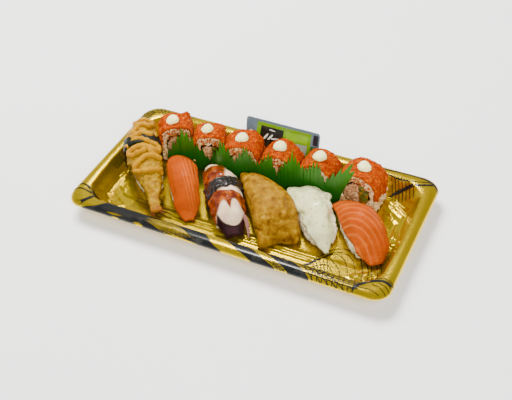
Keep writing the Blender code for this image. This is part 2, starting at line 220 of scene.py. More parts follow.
def copy_nodes(name, nodes, voxel=None, smoothing=0):
    """A fresh mesh in the place of one or more of the frame's nodes, softened if a voxel size is given."""
    copies = []
    for node in nodes:
        copy = bpy.data.objects.new(node + "_copy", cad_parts[node].data.copy())
        bpy.context.scene.collection.objects.link(copy)
        copy.data.materials.clear()
        copies.append(copy)
    piece = join(name, copies)
    edit_all(piece, weld)
    if voxel:
        soften(piece, voxel, smoothing)
    return piece


def face_towards(piece, axis, way):
    """Turn the faces over if most of them look away from that side."""
    if normals_of(piece)[:, axis].mean() * way < 0:
        edit_all(piece, bpy.ops.mesh.flip_normals)


def soften(piece, voxel, smoothing=4):
    """Remesh evenly and round the edges, as a knife or a hand would leave them."""
    modify(piece, "REMESH", mode="VOXEL", voxel_size=voxel * MM)
    if smoothing:
        modify(piece, "SMOOTH", factor=0.5, iterations=smoothing)


def shaped_grid(name, columns, rows, place):
    """Add a grid and put its point at each column and row share where place says."""
    deselect()
    bpy.ops.mesh.primitive_grid_add(x_subdivisions=columns, y_subdivisions=rows, size=1)
    piece = named(name)
    shares = points_of(piece)[:, :2] * MM + 0.5
    move_points(piece, np.array([place(u, v) for u, v in shares]))
    return piece


def shade(piece, angle=50):
    pick(piece)
    bpy.ops.object.shade_smooth_by_angle(angle=math.radians(angle))


def finish(piece, slot, material, nodes=(), angle=None):
    """Give a piece its smoothing and its material, and hide the nodes that it stands for. The slot is not
    used.
    """
    if angle:
        shade(piece, angle)
    points = points_of(piece)
    points[:, 2] = np.maximum(points[:, 2], 0)
    move_points(piece, points)
    piece.data.materials.clear()
    piece.data.materials.append(material)
    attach(piece, "root")
    if nodes:
        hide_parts(*nodes)
    return piece


def surface_spots(piece, spacing, seed, keep=None):
    """Evenly spread places on a surface, with their normals."""
    mesh = piece.data
    mesh.calc_loop_triangles()
    corners = np.empty(len(mesh.loop_triangles) * 3, dtype=np.int64)
    mesh.loop_triangles.foreach_get("vertices", corners)
    points, normals = points_of(piece), normals_of(piece)
    a, b, c = (points[corners.reshape(-1, 3)[:, k]] for k in range(3))
    areas = np.linalg.norm(np.cross(b - a, c - a), axis=1) / 2
    draw = np.random.default_rng(seed)
    count = int(areas.sum() / spacing**2 * 4)
    chosen = draw.choice(len(areas), count, p=areas / areas.sum())
    one, two = draw.random(count), draw.random(count)
    fold = one + two > 1
    one[fold], two[fold] = 1 - one[fold], 1 - two[fold]
    spots = a[chosen] + (b - a)[chosen] * one[:, None] + (c - a)[chosen] * two[:, None]
    facing = normals[corners.reshape(-1, 3)[chosen]].mean(axis=1)
    facing /= np.linalg.norm(facing, axis=1)[:, None]
    if keep is not None:
        wanted = keep(spots, facing)
        spots, facing = spots[wanted], facing[wanted]
    cells = np.floor(spots / spacing).astype(np.int64)
    kept = np.sort(np.unique(cells, axis=0, return_index=True)[1])
    return spots[kept], facing[kept]


def bead(name, sides):
    """A small faceted ball a millimetre in radius, or squashed."""
    deselect()
    bpy.ops.mesh.primitive_ico_sphere_add(subdivisions=1, radius=1)
    ball = named(name)
    move_points(ball, points_of(ball) * MM * sides)
    return ball


def strew(name, shape, spots, facing, least, spread, seed, tilt=0.25):
    """Join one small shape, copied to every spot at a random size, turned at random about its normal."""
    sizes = least + spread * np.random.default_rng(seed).random(len(spots))
    draw = np.random.default_rng(seed + 1)
    base = points_of(shape)
    faces = np.array([tuple(face.vertices) for face in shape.data.polygons])
    random_way = draw.normal(size=facing.shape)
    out = facing + tilt * draw.normal(size=facing.shape)
    out /= np.linalg.norm(out, axis=1)[:, None]
    side = np.cross(out, random_way)
    side /= np.linalg.norm(side, axis=1)[:, None]
    third = np.cross(out, side)
    turned = (base[None, :, 0:1] * side[:, None] + base[None, :, 1:2] * third[:, None]
              + base[None, :, 2:3] * out[:, None])
    points = (spots[:, None] + turned * sizes[:, None, None]).reshape(-1, 3)
    every = (faces[None] + np.arange(len(spots))[:, None, None] * len(base)).reshape(-1, faces.shape[1])
    mesh = bpy.data.meshes.new(name)
    mesh.from_pydata((points * MM).tolist(), [], every.tolist())
    mesh.shade_smooth()
    mesh.update()
    piece = bpy.data.objects.new(name, mesh)
    bpy.context.scene.collection.objects.link(piece)
    bpy.data.objects.remove(shape)
    return piece


# ---------------------------------------------------------------- materials

def rgb(code):
    """Turn an sRGB hex colour into the linear one that a shader takes."""
    parts = [int(code[k:k + 2], 16) / 255 for k in (0, 2, 4)]
    return [part / 12.92 if part <= 0.04045 else ((part + 0.055) / 1.055) ** 2.4 for part in parts] + [1.0]


def node(tree, kind, inputs=None, **settings):
    """Add one shader node with its settings and its links."""
    made = tree.nodes.new("ShaderNode" + kind)
    for name, value in settings.items():
        setattr(made, name, value)
    for name, value in (inputs or {}).items():
        if isinstance(value, bpy.types.NodeSocket):
            tree.links.new(value, made.inputs[name])
        else:
            made.inputs[name].default_value = value
    return made


def surface(name, **sockets):
    """A new material with its Principled shader set, its tree, the shader and Object coordinates."""
    material = bpy.data.materials.new(name)
    material.use_nodes = True
    tree = material.node_tree
    shader = tree.nodes["Principled BSDF"]
    for socket, value in sockets.items():
        shader.inputs[socket.replace("_", " ")].default_value = value
    place = tree.nodes.new("ShaderNodeTexCoord").outputs["Object"]
    return material, tree, shader, place


def blend_colours(tree, share, *stops):
    """A ramp of hex colours over a share from 0 to 1."""
    ramp = node(tree, "ValToRGB", {"Fac": share})
    while len(ramp.color_ramp.elements) < len(stops):
        ramp.color_ramp.elements.new(1.0)
    for element, (at, code) in zip(ramp.color_ramp.elements, stops):
        element.position = at
        element.color = rgb(code)
    return ramp.outputs["Color"]


def grain(tree, place, millimetres, detail=3.0, stretch=(1, 1, 1)):
    """Noise whose lumps are about so many millimetres across."""
    scaled = node(tree, "Mapping", {"Vector": place, "Scale": [s / (millimetres * MM) for s in stretch]})
    return node(tree, "TexNoise", {"Vector": scaled.outputs["Vector"], "Scale": 1.0, "Detail": detail})


def roughen(tree, shader, height, millimetres, invert=False):
    """Relief too fine for the mesh, so many millimetres deep."""
    made = node(tree, "Bump", {"Height": height, "Distance": millimetres * MM, "Strength": 1.0},
                invert=invert)
    tree.links.new(made.outputs["Normal"], shader.inputs["Normal"])


def share_of(tree, name):
    """A number that mark kept at each point of the mesh."""
    return node(tree, "Attribute", attribute_name=name).outputs["Fac"]


def mix(tree, share, one, other):
    """One colour passing into another."""
    return node(tree, "Mix", {"Factor": share, "A": one, "B": other}, data_type="RGBA").outputs["Result"]


def mottled(name, tone, stops, relief=(), over=None, radius=None, **sockets):
    """A material in a cloudy blend of colours with fine relief.

    tone goes to grain, and so does relief after its depth in millimetres. over is a marked
    number and the colour that it brings in."""
    material, tree, shader, place = surface(name, **sockets)
    if radius:
        shader.inputs["Subsurface Radius"].default_value = radius
    colour = blend_colours(tree, grain(tree, place, *tone).outputs["Fac"], *stops)
    if over:
        colour = mix(tree, share_of(tree, over[0]), colour, rgb(over[1]))
    tree.links.new(colour, shader.inputs["Base Color"])
    if relief:
        roughen(tree, shader, grain(tree, place, *relief[1:]).outputs["Fac"], relief[0])
    return material


def gold_film():
    """Gold-lacquered PET, thermoformed: a bright yellow metallic sheet with fine draw lines."""
    return mottled("Gold lacquered PET, thermoformed", (30,), ((0.3, "dcb800"), (0.7, "eac806")),
                   (0.05, 0.8, 2.0, (0.03, 1, 1)), Metallic=0.92, Roughness=0.22,
                   Coat_Weight=0.05, Coat_Roughness=0.08)


def coated(name, colour, roughness=0.22):
    """Ink, film or skin under a clear coat: dense, glossy and faintly clouded."""
    material, tree, shader, place = surface(name, Roughness=roughness, Coat_Weight=0.3,
                                            Coat_Roughness=0.08)
    cloud = grain(tree, place, 7, 4.0)
    thin = node(tree, "MapRange", {"Value": cloud.outputs["Fac"], "From Min": 0.5, "From Max": 0.85,
                                   "To Max": 0.22})
    tree.links.new(mix(tree, thin.outputs["Result"], rgb(colour), rgb("6c6a60")), shader.inputs["Base Color"])
    roughen(tree, shader, grain(tree, place, 1.2).outputs["Fac"], 0.02)
    return material


def cooked_rice():
    """Vinegared short-grain rice, steamed: moist, milky, light passing a little way in."""
    return mottled("Vinegared rice, steamed", (5,), ((0.3, "d9c391"), (0.55, "efe1bd"), (0.8, "fbf3dc")),
                   (0.06, 0.6), radius=(1.0, 0.8, 0.55), Roughness=0.32, IOR=1.45,
                   Subsurface_Weight=0.25, Subsurface_Scale=0.0015)


def stained_rice():
    """The same rice packed behind the roe, tinted by its oil."""
    return mottled("Vinegared rice, pressed and tinted by roe", (4,),
                   ((0.3, "b07a3c"), (0.5, "d6aa72"), (0.75, "ecd6ac")), (0.3, 1.6), Roughness=0.38)


def fish_roe():
    """Capelin roe, salted and dyed: tiny wet orange beads that glow at their edges."""
    material, tree, shader, place = surface("Capelin roe, salted and dyed", Roughness=0.25, IOR=1.36,
                                            Subsurface_Weight=0.15, Subsurface_Scale=0.001,
                                            Specular_IOR_Level=0.06)
    shader.inputs["Subsurface Radius"].default_value = (1.0, 0.35, 0.1)
    tone = grain(tree, place, 3.2, 4.0)
    tree.links.new(blend_colours(tree, tone.outputs["Fac"], (0.36, "8e2e00"), (0.5, "a03c00"),
                                 (0.62, "b04e00"), (0.78, "cc7a06")), shader.inputs["Base Color"])
    cells = node(tree, "TexVoronoi", {"Vector": place, "Scale": 1 / (1.1 * MM)})
    roughen(tree, shader, cells.outputs["Distance"], 0.25, invert=True)
    return material


def pressed_nori():
    """Nori, pressed and roasted laver: near black, green in the light, faintly pitted."""
    return mottled("Nori, pressed and roasted", (2.5,), ((0.3, "0b0c09"), (0.75, "1d2116")),
                   (0.25, 0.8), Roughness=0.42, Specular_IOR_Level=0.35)


def glazed_nori():
    """Nori under sweet soy glaze: wet, black and puckered."""
    return mottled("Nori, wet with soy glaze", (3,), ((0.3, "090605"), (0.8, "1c120d")),
                   (1.2, 2.2, 2.0), Roughness=0.12, Coat_Weight=1.0, Coat_Roughness=0.04)


def shredded_crab():
    """Crab stick, steamed surimi torn into strands: matt, pinkish white."""
    strands = (1.2, 2.0, (1, 0.3, 1))
    return mottled("Crab stick, steamed surimi", strands, ((0.3, "7a4424"), (0.5, "b07c50"), (0.7, "dcb890")),
                   (0.4, *strands), Roughness=0.45, Subsurface_Weight=0.2, Subsurface_Scale=0.001)


def cut_greens():
    """Cucumber and avocado, sliced: wet yellow-green flesh with a darker skin."""
    return mottled("Cucumber and avocado, sliced", (5, 2.0),
                   ((0.3, "2c300c"), (0.5, "5c5a1c"), (0.62, "86520e"), (0.8, "8c8440")), (0.3, 1.5),
                   Roughness=0.28, Subsurface_Weight=0.15, Subsurface_Scale=0.001)


def whipped_mayo():
    """Mayonnaise, piped: dense cream with a soft shine."""
    return mottled("Mayonnaise, piped", (6,), ((0.3, "fbf09a"), (0.7, "fffabc")), (0.08, 2.0),
                   Roughness=0.3, IOR=1.46, Subsurface_Weight=0.3, Subsurface_Scale=0.001)


def raw_salmon(name, fat_colour):
    """Raw salmon, sliced on the slant: wet orange muscle with paler lines of fat."""
    return mottled(name, (16, 3.0), ((0.3, "8e3600"), (0.55, "a04000"), (0.8, "b04e00")),
                   (0.12, 1.6, 3.0), ("fat", fat_colour), (1.0, 0.4, 0.15), Roughness=0.34, IOR=1.38,
                   Subsurface_Weight=0.25, Subsurface_Scale=0.0015, Specular_IOR_Level=0.16)


def raw_squid():
    """Raw squid mantle, scored and sliced: milky, see-through at the edges, very wet."""
    return mottled("Raw squid, sliced", (14, 2.0), ((0.3, "c4c68c"), (0.7, "dcdcb0")), (0.25, 5, 2.0),
                   radius=(1.0, 0.95, 0.7), Roughness=0.14, IOR=1.4, Subsurface_Weight=0.4,
                   Subsurface_Scale=0.003, Coat_Weight=0.4, Coat_Roughness=0.05)


def boiled_octopus():
    """Boiled octopus, sliced: white flesh, wine-purple skin, and red-brown sweet soy glaze poured on."""
    material, tree, shader, place = surface("Boiled octopus with sweet soy glaze", IOR=1.42,
                                            Subsurface_Weight=0.2, Subsurface_Scale=0.002,
                                            Coat_Weight=0.4, Coat_Roughness=0.04)
    tone = grain(tree, place, 9, 3.0).outputs["Fac"]
    flesh = blend_colours(tree, tone, (0.3, "d6b694"), (0.7, "f0d8bc"))
    skin = blend_colours(tree, tone, (0.3, "160809"), (0.7, "34161c"))
    pool = grain(tree, place, 6, 3.0).outputs["Fac"]
    sauce = blend_colours(tree, pool, (0.3, "3e0c02"), (0.5, "6a2404"), (0.72, "a4520a"))
    sauced = share_of(tree, "sauce")
    bare = mix(tree, share_of(tree, "skin"), flesh, skin)
    tree.links.new(mix(tree, sauced, bare, sauce), shader.inputs["Base Color"])
    gloss = node(tree, "MapRange", {"Value": sauced, "To Min": 0.3, "To Max": 0.08})
    tree.links.new(gloss.outputs["Result"], shader.inputs["Roughness"])
    roughen(tree, shader, grain(tree, place, 2.4).outputs["Fac"], 0.25)
    return material


def fried_batter():
    """Wheat batter, deep fried: crisp golden scraps, browner in patches."""
    return mottled("Tempura batter, deep fried", (5, 5.0),
                   ((0.28, "764600"), (0.5, "8c6800"), (0.72, "a88410")), (0.5, 1.4, 4.0),
                   ("tail", "7c3e06"), Roughness=0.42, IOR=1.45, Subsurface_Weight=0.15,
                   Subsurface_Scale=0.0012, Specular_IOR_Level=0.35)


def chilli_mayo():
    """Chilli mayonnaise, piped in thick strands: smooth, orange-yellow, softly glossy."""
    return mottled("Chilli mayonnaise, piped", (8,), ((0.3, "a06c00"), (0.7, "b28200")), (0.15, 2.5),
                   Roughness=0.28, IOR=1.46, Specular_IOR_Level=0.2, Subsurface_Weight=0.2,
                   Subsurface_Scale=0.001)


def fried_bean_curd():
    """Bean-curd skin, fried and simmered: golden brown, oily, mottled and finely creased, with painted shade
    darkening the creases.
    """
    return mottled("Bean-curd pouch, fried and simmered", (5, 7.0),
                   ((0.3, "603a00"), (0.45, "7c5400"), (0.6, "926a00"), (0.75, "aa8420")), (0.7, 1.4, 5.0),
                   # The crease colour is painted shade for the creases.
                   ("crease", "4a2c04"), Roughness=0.36, IOR=1.45, Subsurface_Weight=0.12,
                   Subsurface_Scale=0.0015, Specular_IOR_Level=0.3)


def cut_grass():
    """Printed green film cut like bamboo grass: smooth, with fine upright ribs, and painted shade that
    darkens it towards its foot.
    """
    material, tree, shader, place = surface("Green PP film, die cut", Roughness=0.38, Coat_Weight=0.15,
                                            Coat_Roughness=0.3)
    height = node(tree, "SeparateXYZ", {"Vector": place}).outputs["Z"]
    # Painted shade: the green runs from dark at the foot, down among the food, to bright at the tips.
    share = node(tree, "MapRange", {"Value": height, "From Min": 8 * MM, "From Max": 46 * MM})
    leaf = blend_colours(tree, share.outputs["Result"], (0.0, "083e02"), (0.45, "165e05"), (1.0, "369010"))
    ribs = grain(tree, place, 0.9, 2.0, (1, 0.02, 0.02)).outputs["Fac"]
    tree.links.new(mix(tree, ribs, leaf, rgb("094a03")), shader.inputs["Base Color"])
    roughen(tree, shader, ribs, 0.25)
    return material


def specks():
    """Cracked pepper and skin flecks, dry and brown-black."""
    return mottled("Cracked pepper", (0.8,), ((0.3, "3a3018"), (0.7, "6a5c34")), Roughness=0.6)


# ---------------------------------------------------------------- tray

# Inset from the edge, height, corner size, corner shape from 0, cut straight, to 1, round
TRAY_PROFILE = ((0.0, 14.2, 15.0, 1.0), (0.3, 15.4, 15.0, 1.0), (1.7, 17.1, 15.0, 1.0),
                (4.5, 18.0, 15.0, 1.0), (7.9, 18.0, 15.5, 0.9), (10.6, 17.5, 16.0, 0.75),
                (11.8, 16.4, 16.0, 0.6), (15.0, 9.4, 15.8, 0.35), (18.2, 2.6, 15.5, 0.1),
                (19.9, 1.2, 15.0, 0.0))
FLOOR_TOP = 1.2
SHEET = 0.4
LONG_STEPS, SHORT_STEPS, CORNER_STEPS = 170, 78, 12
# Ribs pressed into the floor and the cut corners: two ends, half width and height
RIBS = [((0, 37.4), (74, 37.4), 1.9, 0.9), ((0, 42.6), (68, 42.6), 1.9, 0.9),
        ((121.6, 8), (121.6, 15), 0.8, 0.8), ((124.4, 8), (124.4, 15), 0.8, 0.8),
        ((123.4, 0), (123.4, 0.5), 2.6, 1.2), ((113.5, 17), (113.5, 31), 0.9, 0.6)]
RIBS += [((105.5 + 0.56 * shift, 48.5 + 0.83 * shift), (122.5 + 0.56 * shift, 37 + 0.83 * shift), 1.0, 0.9)
         for shift in (-3.4, 0, 3.4)]


def tray_ring(inset, height, corner, roundness):
    """One closed ring of the tray seen from above, with straight sides and shaped corners."""
    half_x, half_y = HALF_LENGTH - inset, HALF_WIDTH - inset
    corner = min(corner, half_y)
    ring = []
    corners = ((1, 1, False), (-1, 1, True), (-1, -1, False), (1, -1, True))
    ends = []
    for sign_x, sign_y, backwards in corners:
        quarter = []
        for f in np.linspace(0, 1, CORNER_STEPS + 1):
            angle = f * math.pi / 2
            cut = np.array((half_x - corner * f, half_y - corner * (1 - f)))
            turned = np.array((half_x - corner + corner * math.cos(angle),
                               half_y - corner + corner * math.sin(angle)))
            quarter.append((cut + (turned - cut) * roundness) * (sign_x, sign_y))
        ends.append(quarter[::-1] if backwards else quarter)
    for k, quarter in enumerate(ends):
        steps = SHORT_STEPS if k % 2 else LONG_STEPS
        after = ends[(k + 1) % 4][0]
        ring += quarter
        ring += [quarter[-1] + (after - quarter[-1]) * s / steps for s in range(1, steps)]
    ring = np.array(ring)
    straight = max(half_y - corner, 0.1)
    bow = 1.5 * min(1.0, inset / 10.6)
    ring[:, 0] += np.sign(ring[:, 0]) * bow * np.clip(1 - (ring[:, 1] / straight) ** 2, 0, 1)
    return np.column_stack((ring, np.full(len(ring), height)))


def pressed(x, y):
    """How much the pressed ribs and the sunk middle panel move the sheet up or down."""
    x, y = np.abs(x), np.abs(y)
    edge = np.maximum.reduce((x - 118.7, y - 34.0, (7.8 * x + 8.5 * y - 1136) / 11.54))
    height = -0.7 * (1 - ease(edge, -0.9, 0.9))
    for start, end, half, tall in RIBS:
        start, end = np.array(start), np.array(end)
        way = end - start
        share = np.clip(((x - start[0]) * way[0] + (y - start[1]) * way[1]) / (way @ way), 0, 1)
        away = np.hypot(x - start[0] - share * way[0], y - start[1] - share * way[1])
        height = height + tall * (1 - ease(away, half * 0.45, half))
    return height


def make_tray(gold, ink):
    insets = [18.9] + list(np.arange(20.5, 50, 1.0)) + list(np.arange(50.5, HALF_WIDTH - 1, 3.2))
    profile = list(along_curve(TRAY_PROFILE, 30))
    profile += [(inset, FLOOR_TOP, 15.0, 0.0) for inset in insets[1:]]
    profile.append((HALF_WIDTH - 0.02, FLOOR_TOP, 0.02, 0.0))
    rings = [tray_ring(*station) for station in profile]
    around, levels = len(rings[0]), len(rings) - 1

    def place(u, v):
        return rings[round(v * levels)][round(u * around) % around]

    tray = shaped_grid("tray_sheet", around, levels, place)
    edit_all(tray, lambda: weld(0.00006), face_out)
    points = points_of(tray)
    inner = (np.abs(points[:, 0]) < HALF_LENGTH - 12.5) & (np.abs(points[:, 1]) < HALF_WIDTH - 12.5)
    points[inner, 2] += pressed(points[inner, 0], points[inner, 1])
    points[:, 2] += 0.06 * lumps(points, 26, 5)
    move_points(tray, points)
    face_towards(tray, 2, 1)
    top = surface_tree(tray)
    modify(tray, "SOLIDIFY", thickness=SHEET * MM, offset=-1)
    finish(tray, "tray", gold, ["tray"], angle=60)
    tray.data.materials.append(ink)
    for face in tray.data.polygons:
        x, y, z = face.center / MM
        if y < 0.4 - HALF_WIDTH and z < 16.2 and lip_is_black(x):
            face.material_index = 1
    return top


# ---------------------------------------------------------------- print

FRONT = 0.25 - HALF_WIDTH
ABOVE_TRAY = 25
BAND_LIFT, SHAPE_LIFT, LINE_LIFT = 0.07, 0.13, 0.19
# Left and right ends of the black band, from the lip, over the rim and down the inner wall
BAND_LEFT = ((-124, FRONT), (-115.7, -70.4), (-111, -67.7), (-107.5, -63.9), (-106, -61.5), (-104, -53))
BAND_RIGHT = ((81, FRONT), (78, -70.4), (74, -67.7), (66.5, -63.6), (61, -61.5), (52, -53))
# Gold shapes in the band: two edges each, in X and Y
LEAF_SHAPE = (((-69, -67), (-62, -64.6), (-50, -63.3), (-36, -64.2), (-27, -67.6), (-20, -70.6),
               (-13, FRONT)),
              ((-69, -67), (-60.3, -69.1), (-51.3, -71.5), (-44, FRONT), (-34, FRONT), (-24, FRONT),
               (-13, FRONT)))
WIDE_STRIPE = (((-14, -61.5), (0, -61.9), (9.4, -63.8), (18.5, -68.4), (30.8, FRONT)),
               ((-14, -61.5), (-10.5, -63.8), (-5.8, -67.6), (-0.6, -70.8), (6.6, FRONT)))
THIN_STRIPE = (((17, -61.5), (30, -61.6), (41.3, -63.2), (51.3, -67.4), (63.3, FRONT)),
               ((17, -61.5), (28, -62.8), (36, -66), (44, -69.8), (52.9, FRONT)))
SLIVERS = ((((-66, -62), (-54, -60.6), (-41, -60.9)), ((-66, -62), (-54, -61.8), (-41, -60.9))),
           (((-101, -71.2), (-93, -70.5), (-84.5, -70.9)), ((-101, -71.2), (-94, -71.8), (-84.5, -70.9))),
           (((-75, -72.4), (-70, -71.6), (-64.5, FRONT)), ((-75, -72.4), (-70, FRONT), (-64.5, FRONT))))
GOLD_AT_LIP = ((-95, -88), (-72, -66), (-44, -13), (6.6, 30.8), (52.9, 63.3))


# Thick strokes that cross the corners: points, width, share of it at the ends, and at the middle
CORNER_LINES = (
    (((111.6, FRONT), (115.2, -69.6), (118.6, -64), (124, -58.2), (132, -54.6), (138, -55.2),
      (142.2, -57.8)), 2.7, (1.1, 0.9)),
    (((127, -53.5), (133, -51.6), (138, -52.3), (142.2, -55)), 0.7),
    (((119, -67.5), (127, -66.2), (135, -68.4)), 0.6),
    (((127, -60.5), (133, -61.6), (139.6, -66)), 0.6),
    (((131, -57.6), (136.5, -58.8), (141.6, -62.6)), 0.6),
    (((-130.9, -71.6), (-127, -69.8), (-123.6, -65), (-121, -60), (-117.5, -57.5)), 4.0, (1.2, 0.4)),
    (((-141.9, -52), (-136, -50), (-130.5, -51.6), (-125.5, -54.4), (-118, -57.2)), 2.2, (0.6, 1.2)),
    (((-141.9, -59), (-137.5, -56), (-131, -55.6), (-124, -57.2), (-114, -58.6)), 1.8, (0.6, 1.2)),
    (((84, 67), (102, 68.6), (118, 69.2), (130, 68), (138, 64), (142, 58)), 3.0, (0.3, 0.6), 1.2),
    (((102, 53.6), (108.9, 56.6), (117.2, 58.2), (127, 60.2), (136.5, 64)), 2.4, (0.2, 0.8), 1.5),
    (((96, 63), (108, 61.5), (122, 63), (134, 66)), 0.8))


def lip_is_black(x):
    return -124 < x < 81 and not any(low < x < high for low, high in GOLD_AT_LIP)


def field(one, other, across, lengthwise):
    """A flat patch between two smooth edges."""
    first, second = along_curve(one, lengthwise + 1), along_curve(other, lengthwise + 1)

    def place(u, v):
        k = round(u * lengthwise)
        x, y = first[k] + (second[k] - first[k]) * v
        return (x, y, ABOVE_TRAY)

    return shaped_grid("patch", lengthwise, across, place)


def stroke(knots, width=0.6, ends=(1.0, 1.0), middle=1.0):
    """A line of ink through a few points, whose width can change from its ends to its middle."""
    knots = np.asarray(knots, float)
    length = np.linalg.norm(np.diff(knots, axis=0), axis=1).sum()
    steps = max(4, int(length / 1.1))
    course = along_curve(knots, steps + 1)
    way = np.gradient(course, axis=0)
    side = np.column_stack((-way[:, 1], way[:, 0])) / np.linalg.norm(way, axis=1)[:, None]
    share = np.linspace(0, 1, steps + 1)
    breadth = width * (ends[0] + (ends[1] - ends[0]) * share + (middle - 1) * np.sin(math.pi * share))
    offset = side * breadth[:, None] / 2

    def place(u, v):
        k = round(u * steps)
        x, y = course[k] + offset[k] * (2 * v - 1)
        return (x, y, ABOVE_TRAY)

    return shaped_grid("line", steps, 1, place)


def between(one, other, share, start=0.0, end=1.0):
    """Points part of the way from one edge to another, for lines that follow a shape."""
    first, second = along_curve(one, 13), along_curve(other, 13)
    course = first + (second - first) * share
    return course[int(start * 12):int(end * 12) + 1]


def lay_on(name, patches, tree, lift, material):
    """Lay flat print on the tray's surface, a hair above it."""
    piece = join(name, patches)
    points = points_of(piece)
    laid = []
    for x, y, z in points:
        spot, normal, _, _ = tree.ray_cast(Vector((x, y, z)) * MM, Vector((0, 0, -1)))
        if spot is None:
            spot, normal, _, _ = tree.find_nearest(Vector((x, y, 15)) * MM)
        laid.append((spot + normal * lift * MM) / MM)
    move_points(piece, np.array(laid))
    face_towards(piece, 2, 1)
    shade(piece, 60)
    return finish(piece, "tray", material)


def front_net():
    """Fine curves crossing over the front rim, and bell curves on the floor behind them."""
    lines = []
    for k in range(6):
        lines.append(((62 + 2.6 * k, -58.5 - 2.1 * k), (84 + 1.6 * k, -60 - 1.9 * k),
                      (101 + 1.3 * k, -59 - 2.1 * k), (119, -58 - 2.2 * k)))
        if k < 5:
            lines.append(((66 + 2.6 * k, -53), (71 + 3.8 * k, -60.5), (78 + 5.2 * k, -67.5),
                          (84 + 6.4 * k, FRONT)))
    for k in range(9):
        lines.append(((80 + 4.2 * k, -56), (81 + 4.2 * k, -64), (83 + 4.1 * k, FRONT)))
    for k in range(5):
        lines.append(((70.5 + 2.6 * k, -41 + 1.6 * k), (75 + 2.9 * k, -47), (80 + 3.1 * k, -55)))
    lines += [((64, -51), (69.6, -45), (75.1, -33), (80.5, -24), (89.5, -18.5), (98, -20)),
              ((64, -50), (71, -43), (76.5, -36), (82, -33.6), (89.3, -37.7), (95.8, -45), (99, -55)),
              ((65, -52), (73, -41), (81.4, -29.3), (87.7, -26.6), (94.8, -31.3), (101.3, -42.5), (104, -55)),
              ((66, -53), (76, -37), (83, -26), (91.7, -23.3), (99.7, -27.5), (107.5, -41.8), (109, -54)),
              ((68, -54), (73, -48), (80, -42), (86, -42), (92, -50)),
              ((101, -20), (106.6, -26), (112.4, -39.7), (114, -54)),
              ((106, -20), (112, -28), (117, -38.7), (118, -50)), ((111, -20), (116, -29), (121.2, -43)),
              ((114, -18), (121, -29), (125, -42)), ((119, -19), (124, -28), (127.5, -40))]
    return lines


def make_print(tree, gold, ink):
    band = [field(BAND_LEFT, BAND_RIGHT, 170, 28)]
    edges = [LEAF_SHAPE, WIDE_STRIPE, THIN_STRIPE, *SLIVERS]
    lay_on("print_black_band", band, tree, BAND_LIFT, ink)
    lay_on("print_gold_shapes", [field(one, other, 8, 48) for one, other in edges], tree, SHAPE_LIFT, gold)

    strokes = [stroke(between(*LEAF_SHAPE, share), 0.6) for share in (0.2, 0.4, 0.6, 0.8)]
    for k in range(9):
        x = -50 + 4.0 * k
        top = -63.0 - max(0, k - 3) * 1.5
        strokes.append(stroke(((x, top - 0.4), (x + 1.6, (top + FRONT) / 2), (x + 3.6, FRONT)), 0.6))
    for share in (0.25, 0.5, 0.75):
        strokes.append(stroke(between(*THIN_STRIPE, share, 0.6, 1.0), 0.5))
    for k in range(5):
        x = 43.5 + 3.3 * k
        y = -66.6 - 1.15 * k
        strokes.append(stroke(((x, y - 1.6), (x + 2.2, y - 1.2), (x + 4.8, y)), 0.5))
    strokes += [stroke(line, 0.65) for line in front_net()]

    strokes += [stroke(*line) for line in CORNER_LINES]
    for k in range(7):
        strokes.append(stroke(((-95.7 + 2.3 * k, -45), (-95.2 + 2.3 * k, -38), (-95.9 + 2.3 * k, -31)), 0.7))
        strokes.append(stroke(((-79, -31 - 2.1 * k), (-67, -30.4 - 2.1 * k), (-56, -31 - 2.1 * k)), 0.5))
        strokes.append(stroke(((-142.1, 44 + 2.2 * k), (-136, 46 + 2.6 * k), (-131, 52 + 2.0 * k)), 0.5))
        strokes.append(stroke(((-134 + 4 * k, 72.6), (-132 + 4 * k, 67), (-126 + 4 * k, 62)), 0.5))
        strokes.append(stroke(((100 + 3 * k, 63), (104 + 3 * k, 56), (106 + 3 * k, 50)), 0.5))
    for inset in (3, 6, 9):
        strokes.append(stroke(((inset - 142.5, 42), (inset - 142, 58), (inset - 135, 69 - inset / 2),
                               (-118, 72.6 - inset), (-92, 72.6 - inset)), 0.5))
    lay_on("print_black_lines", strokes, tree, LINE_LIFT, ink)


# ---------------------------------------------------------------- rice

CLEAR_OF_FLOOR = 2.6  # how low a loose grain may lie

def rice_grain():
    """One cooked grain, plump and a little bent."""
    deselect()
    bpy.ops.mesh.primitive_uv_sphere_add(segments=7, ring_count=5, radius=1)
    grain_shape = named("grain")
    points = points_of(grain_shape) * MM
    points = points[:, [2, 0, 1]] * (2.75, 1.25, 1.2)
    points[:, 1] += 0.07 * points[:, 0] ** 2
    move_points(grain_shape, points)
    edit_all(grain_shape, bpy.ops.mesh.quads_convert_to_tris)
    return grain_shape


def make_nigiri_rice(rice):
    names = ["salmon_left_rice", "octopus_nigiri_rice", "squid_nigiri_rice", "salmon_right_rice",
             "prawn_nigiri_rice"]
    core = copy_nodes("nigiri_rice_core", names, 1.1, 5)
    swell(core, -0.9 + 0.5 * lumps(points_of(core), 4, 11))
    finish(core, "rice", rice, names, angle=80)

    def sides(at, out):
        return (out[:, 2] < 0.9) & (out[:, 2] > -0.7) & (at[:, 2] > CLEAR_OF_FLOOR)

    spots, facing = surface_spots(core, 2.15, 12, sides)
    grains = strew("nigiri_rice_grains", rice_grain(), spots, facing, 0.85, 0.3, 13)
    finish(grains, "rice", rice)


# ---------------------------------------------------------------- rolls

# Middle x and y, turn, half width and height of each roll, and how square its top has been pressed
ROLLS = ((-93.4, 36.2, 31, 14.8, 36.5, 4.0), (-59.6, 36.8, 22, 13.9, 36.0, 4.0),
         (-26.3, 36.3, 11, 16.4, 36.5, 2.6), (8.8, 37.4, 5, 16.6, 37.0, 1.75),
         (44.0, 38.2, 1, 16.7, 37.0, 1.75), (81.6, 39.6, -4, 18.3, 37.5, 2.0))
ROUND_TOP, ROLL_STAND = 1.75, 1.5


def nearest_roll(points):
    """The number of the roll that each point belongs to."""
    middles = np.array([roll[:2] for roll in ROLLS])
    return np.argmin(np.linalg.norm(points[:, None, :2] - middles, axis=2), axis=1)


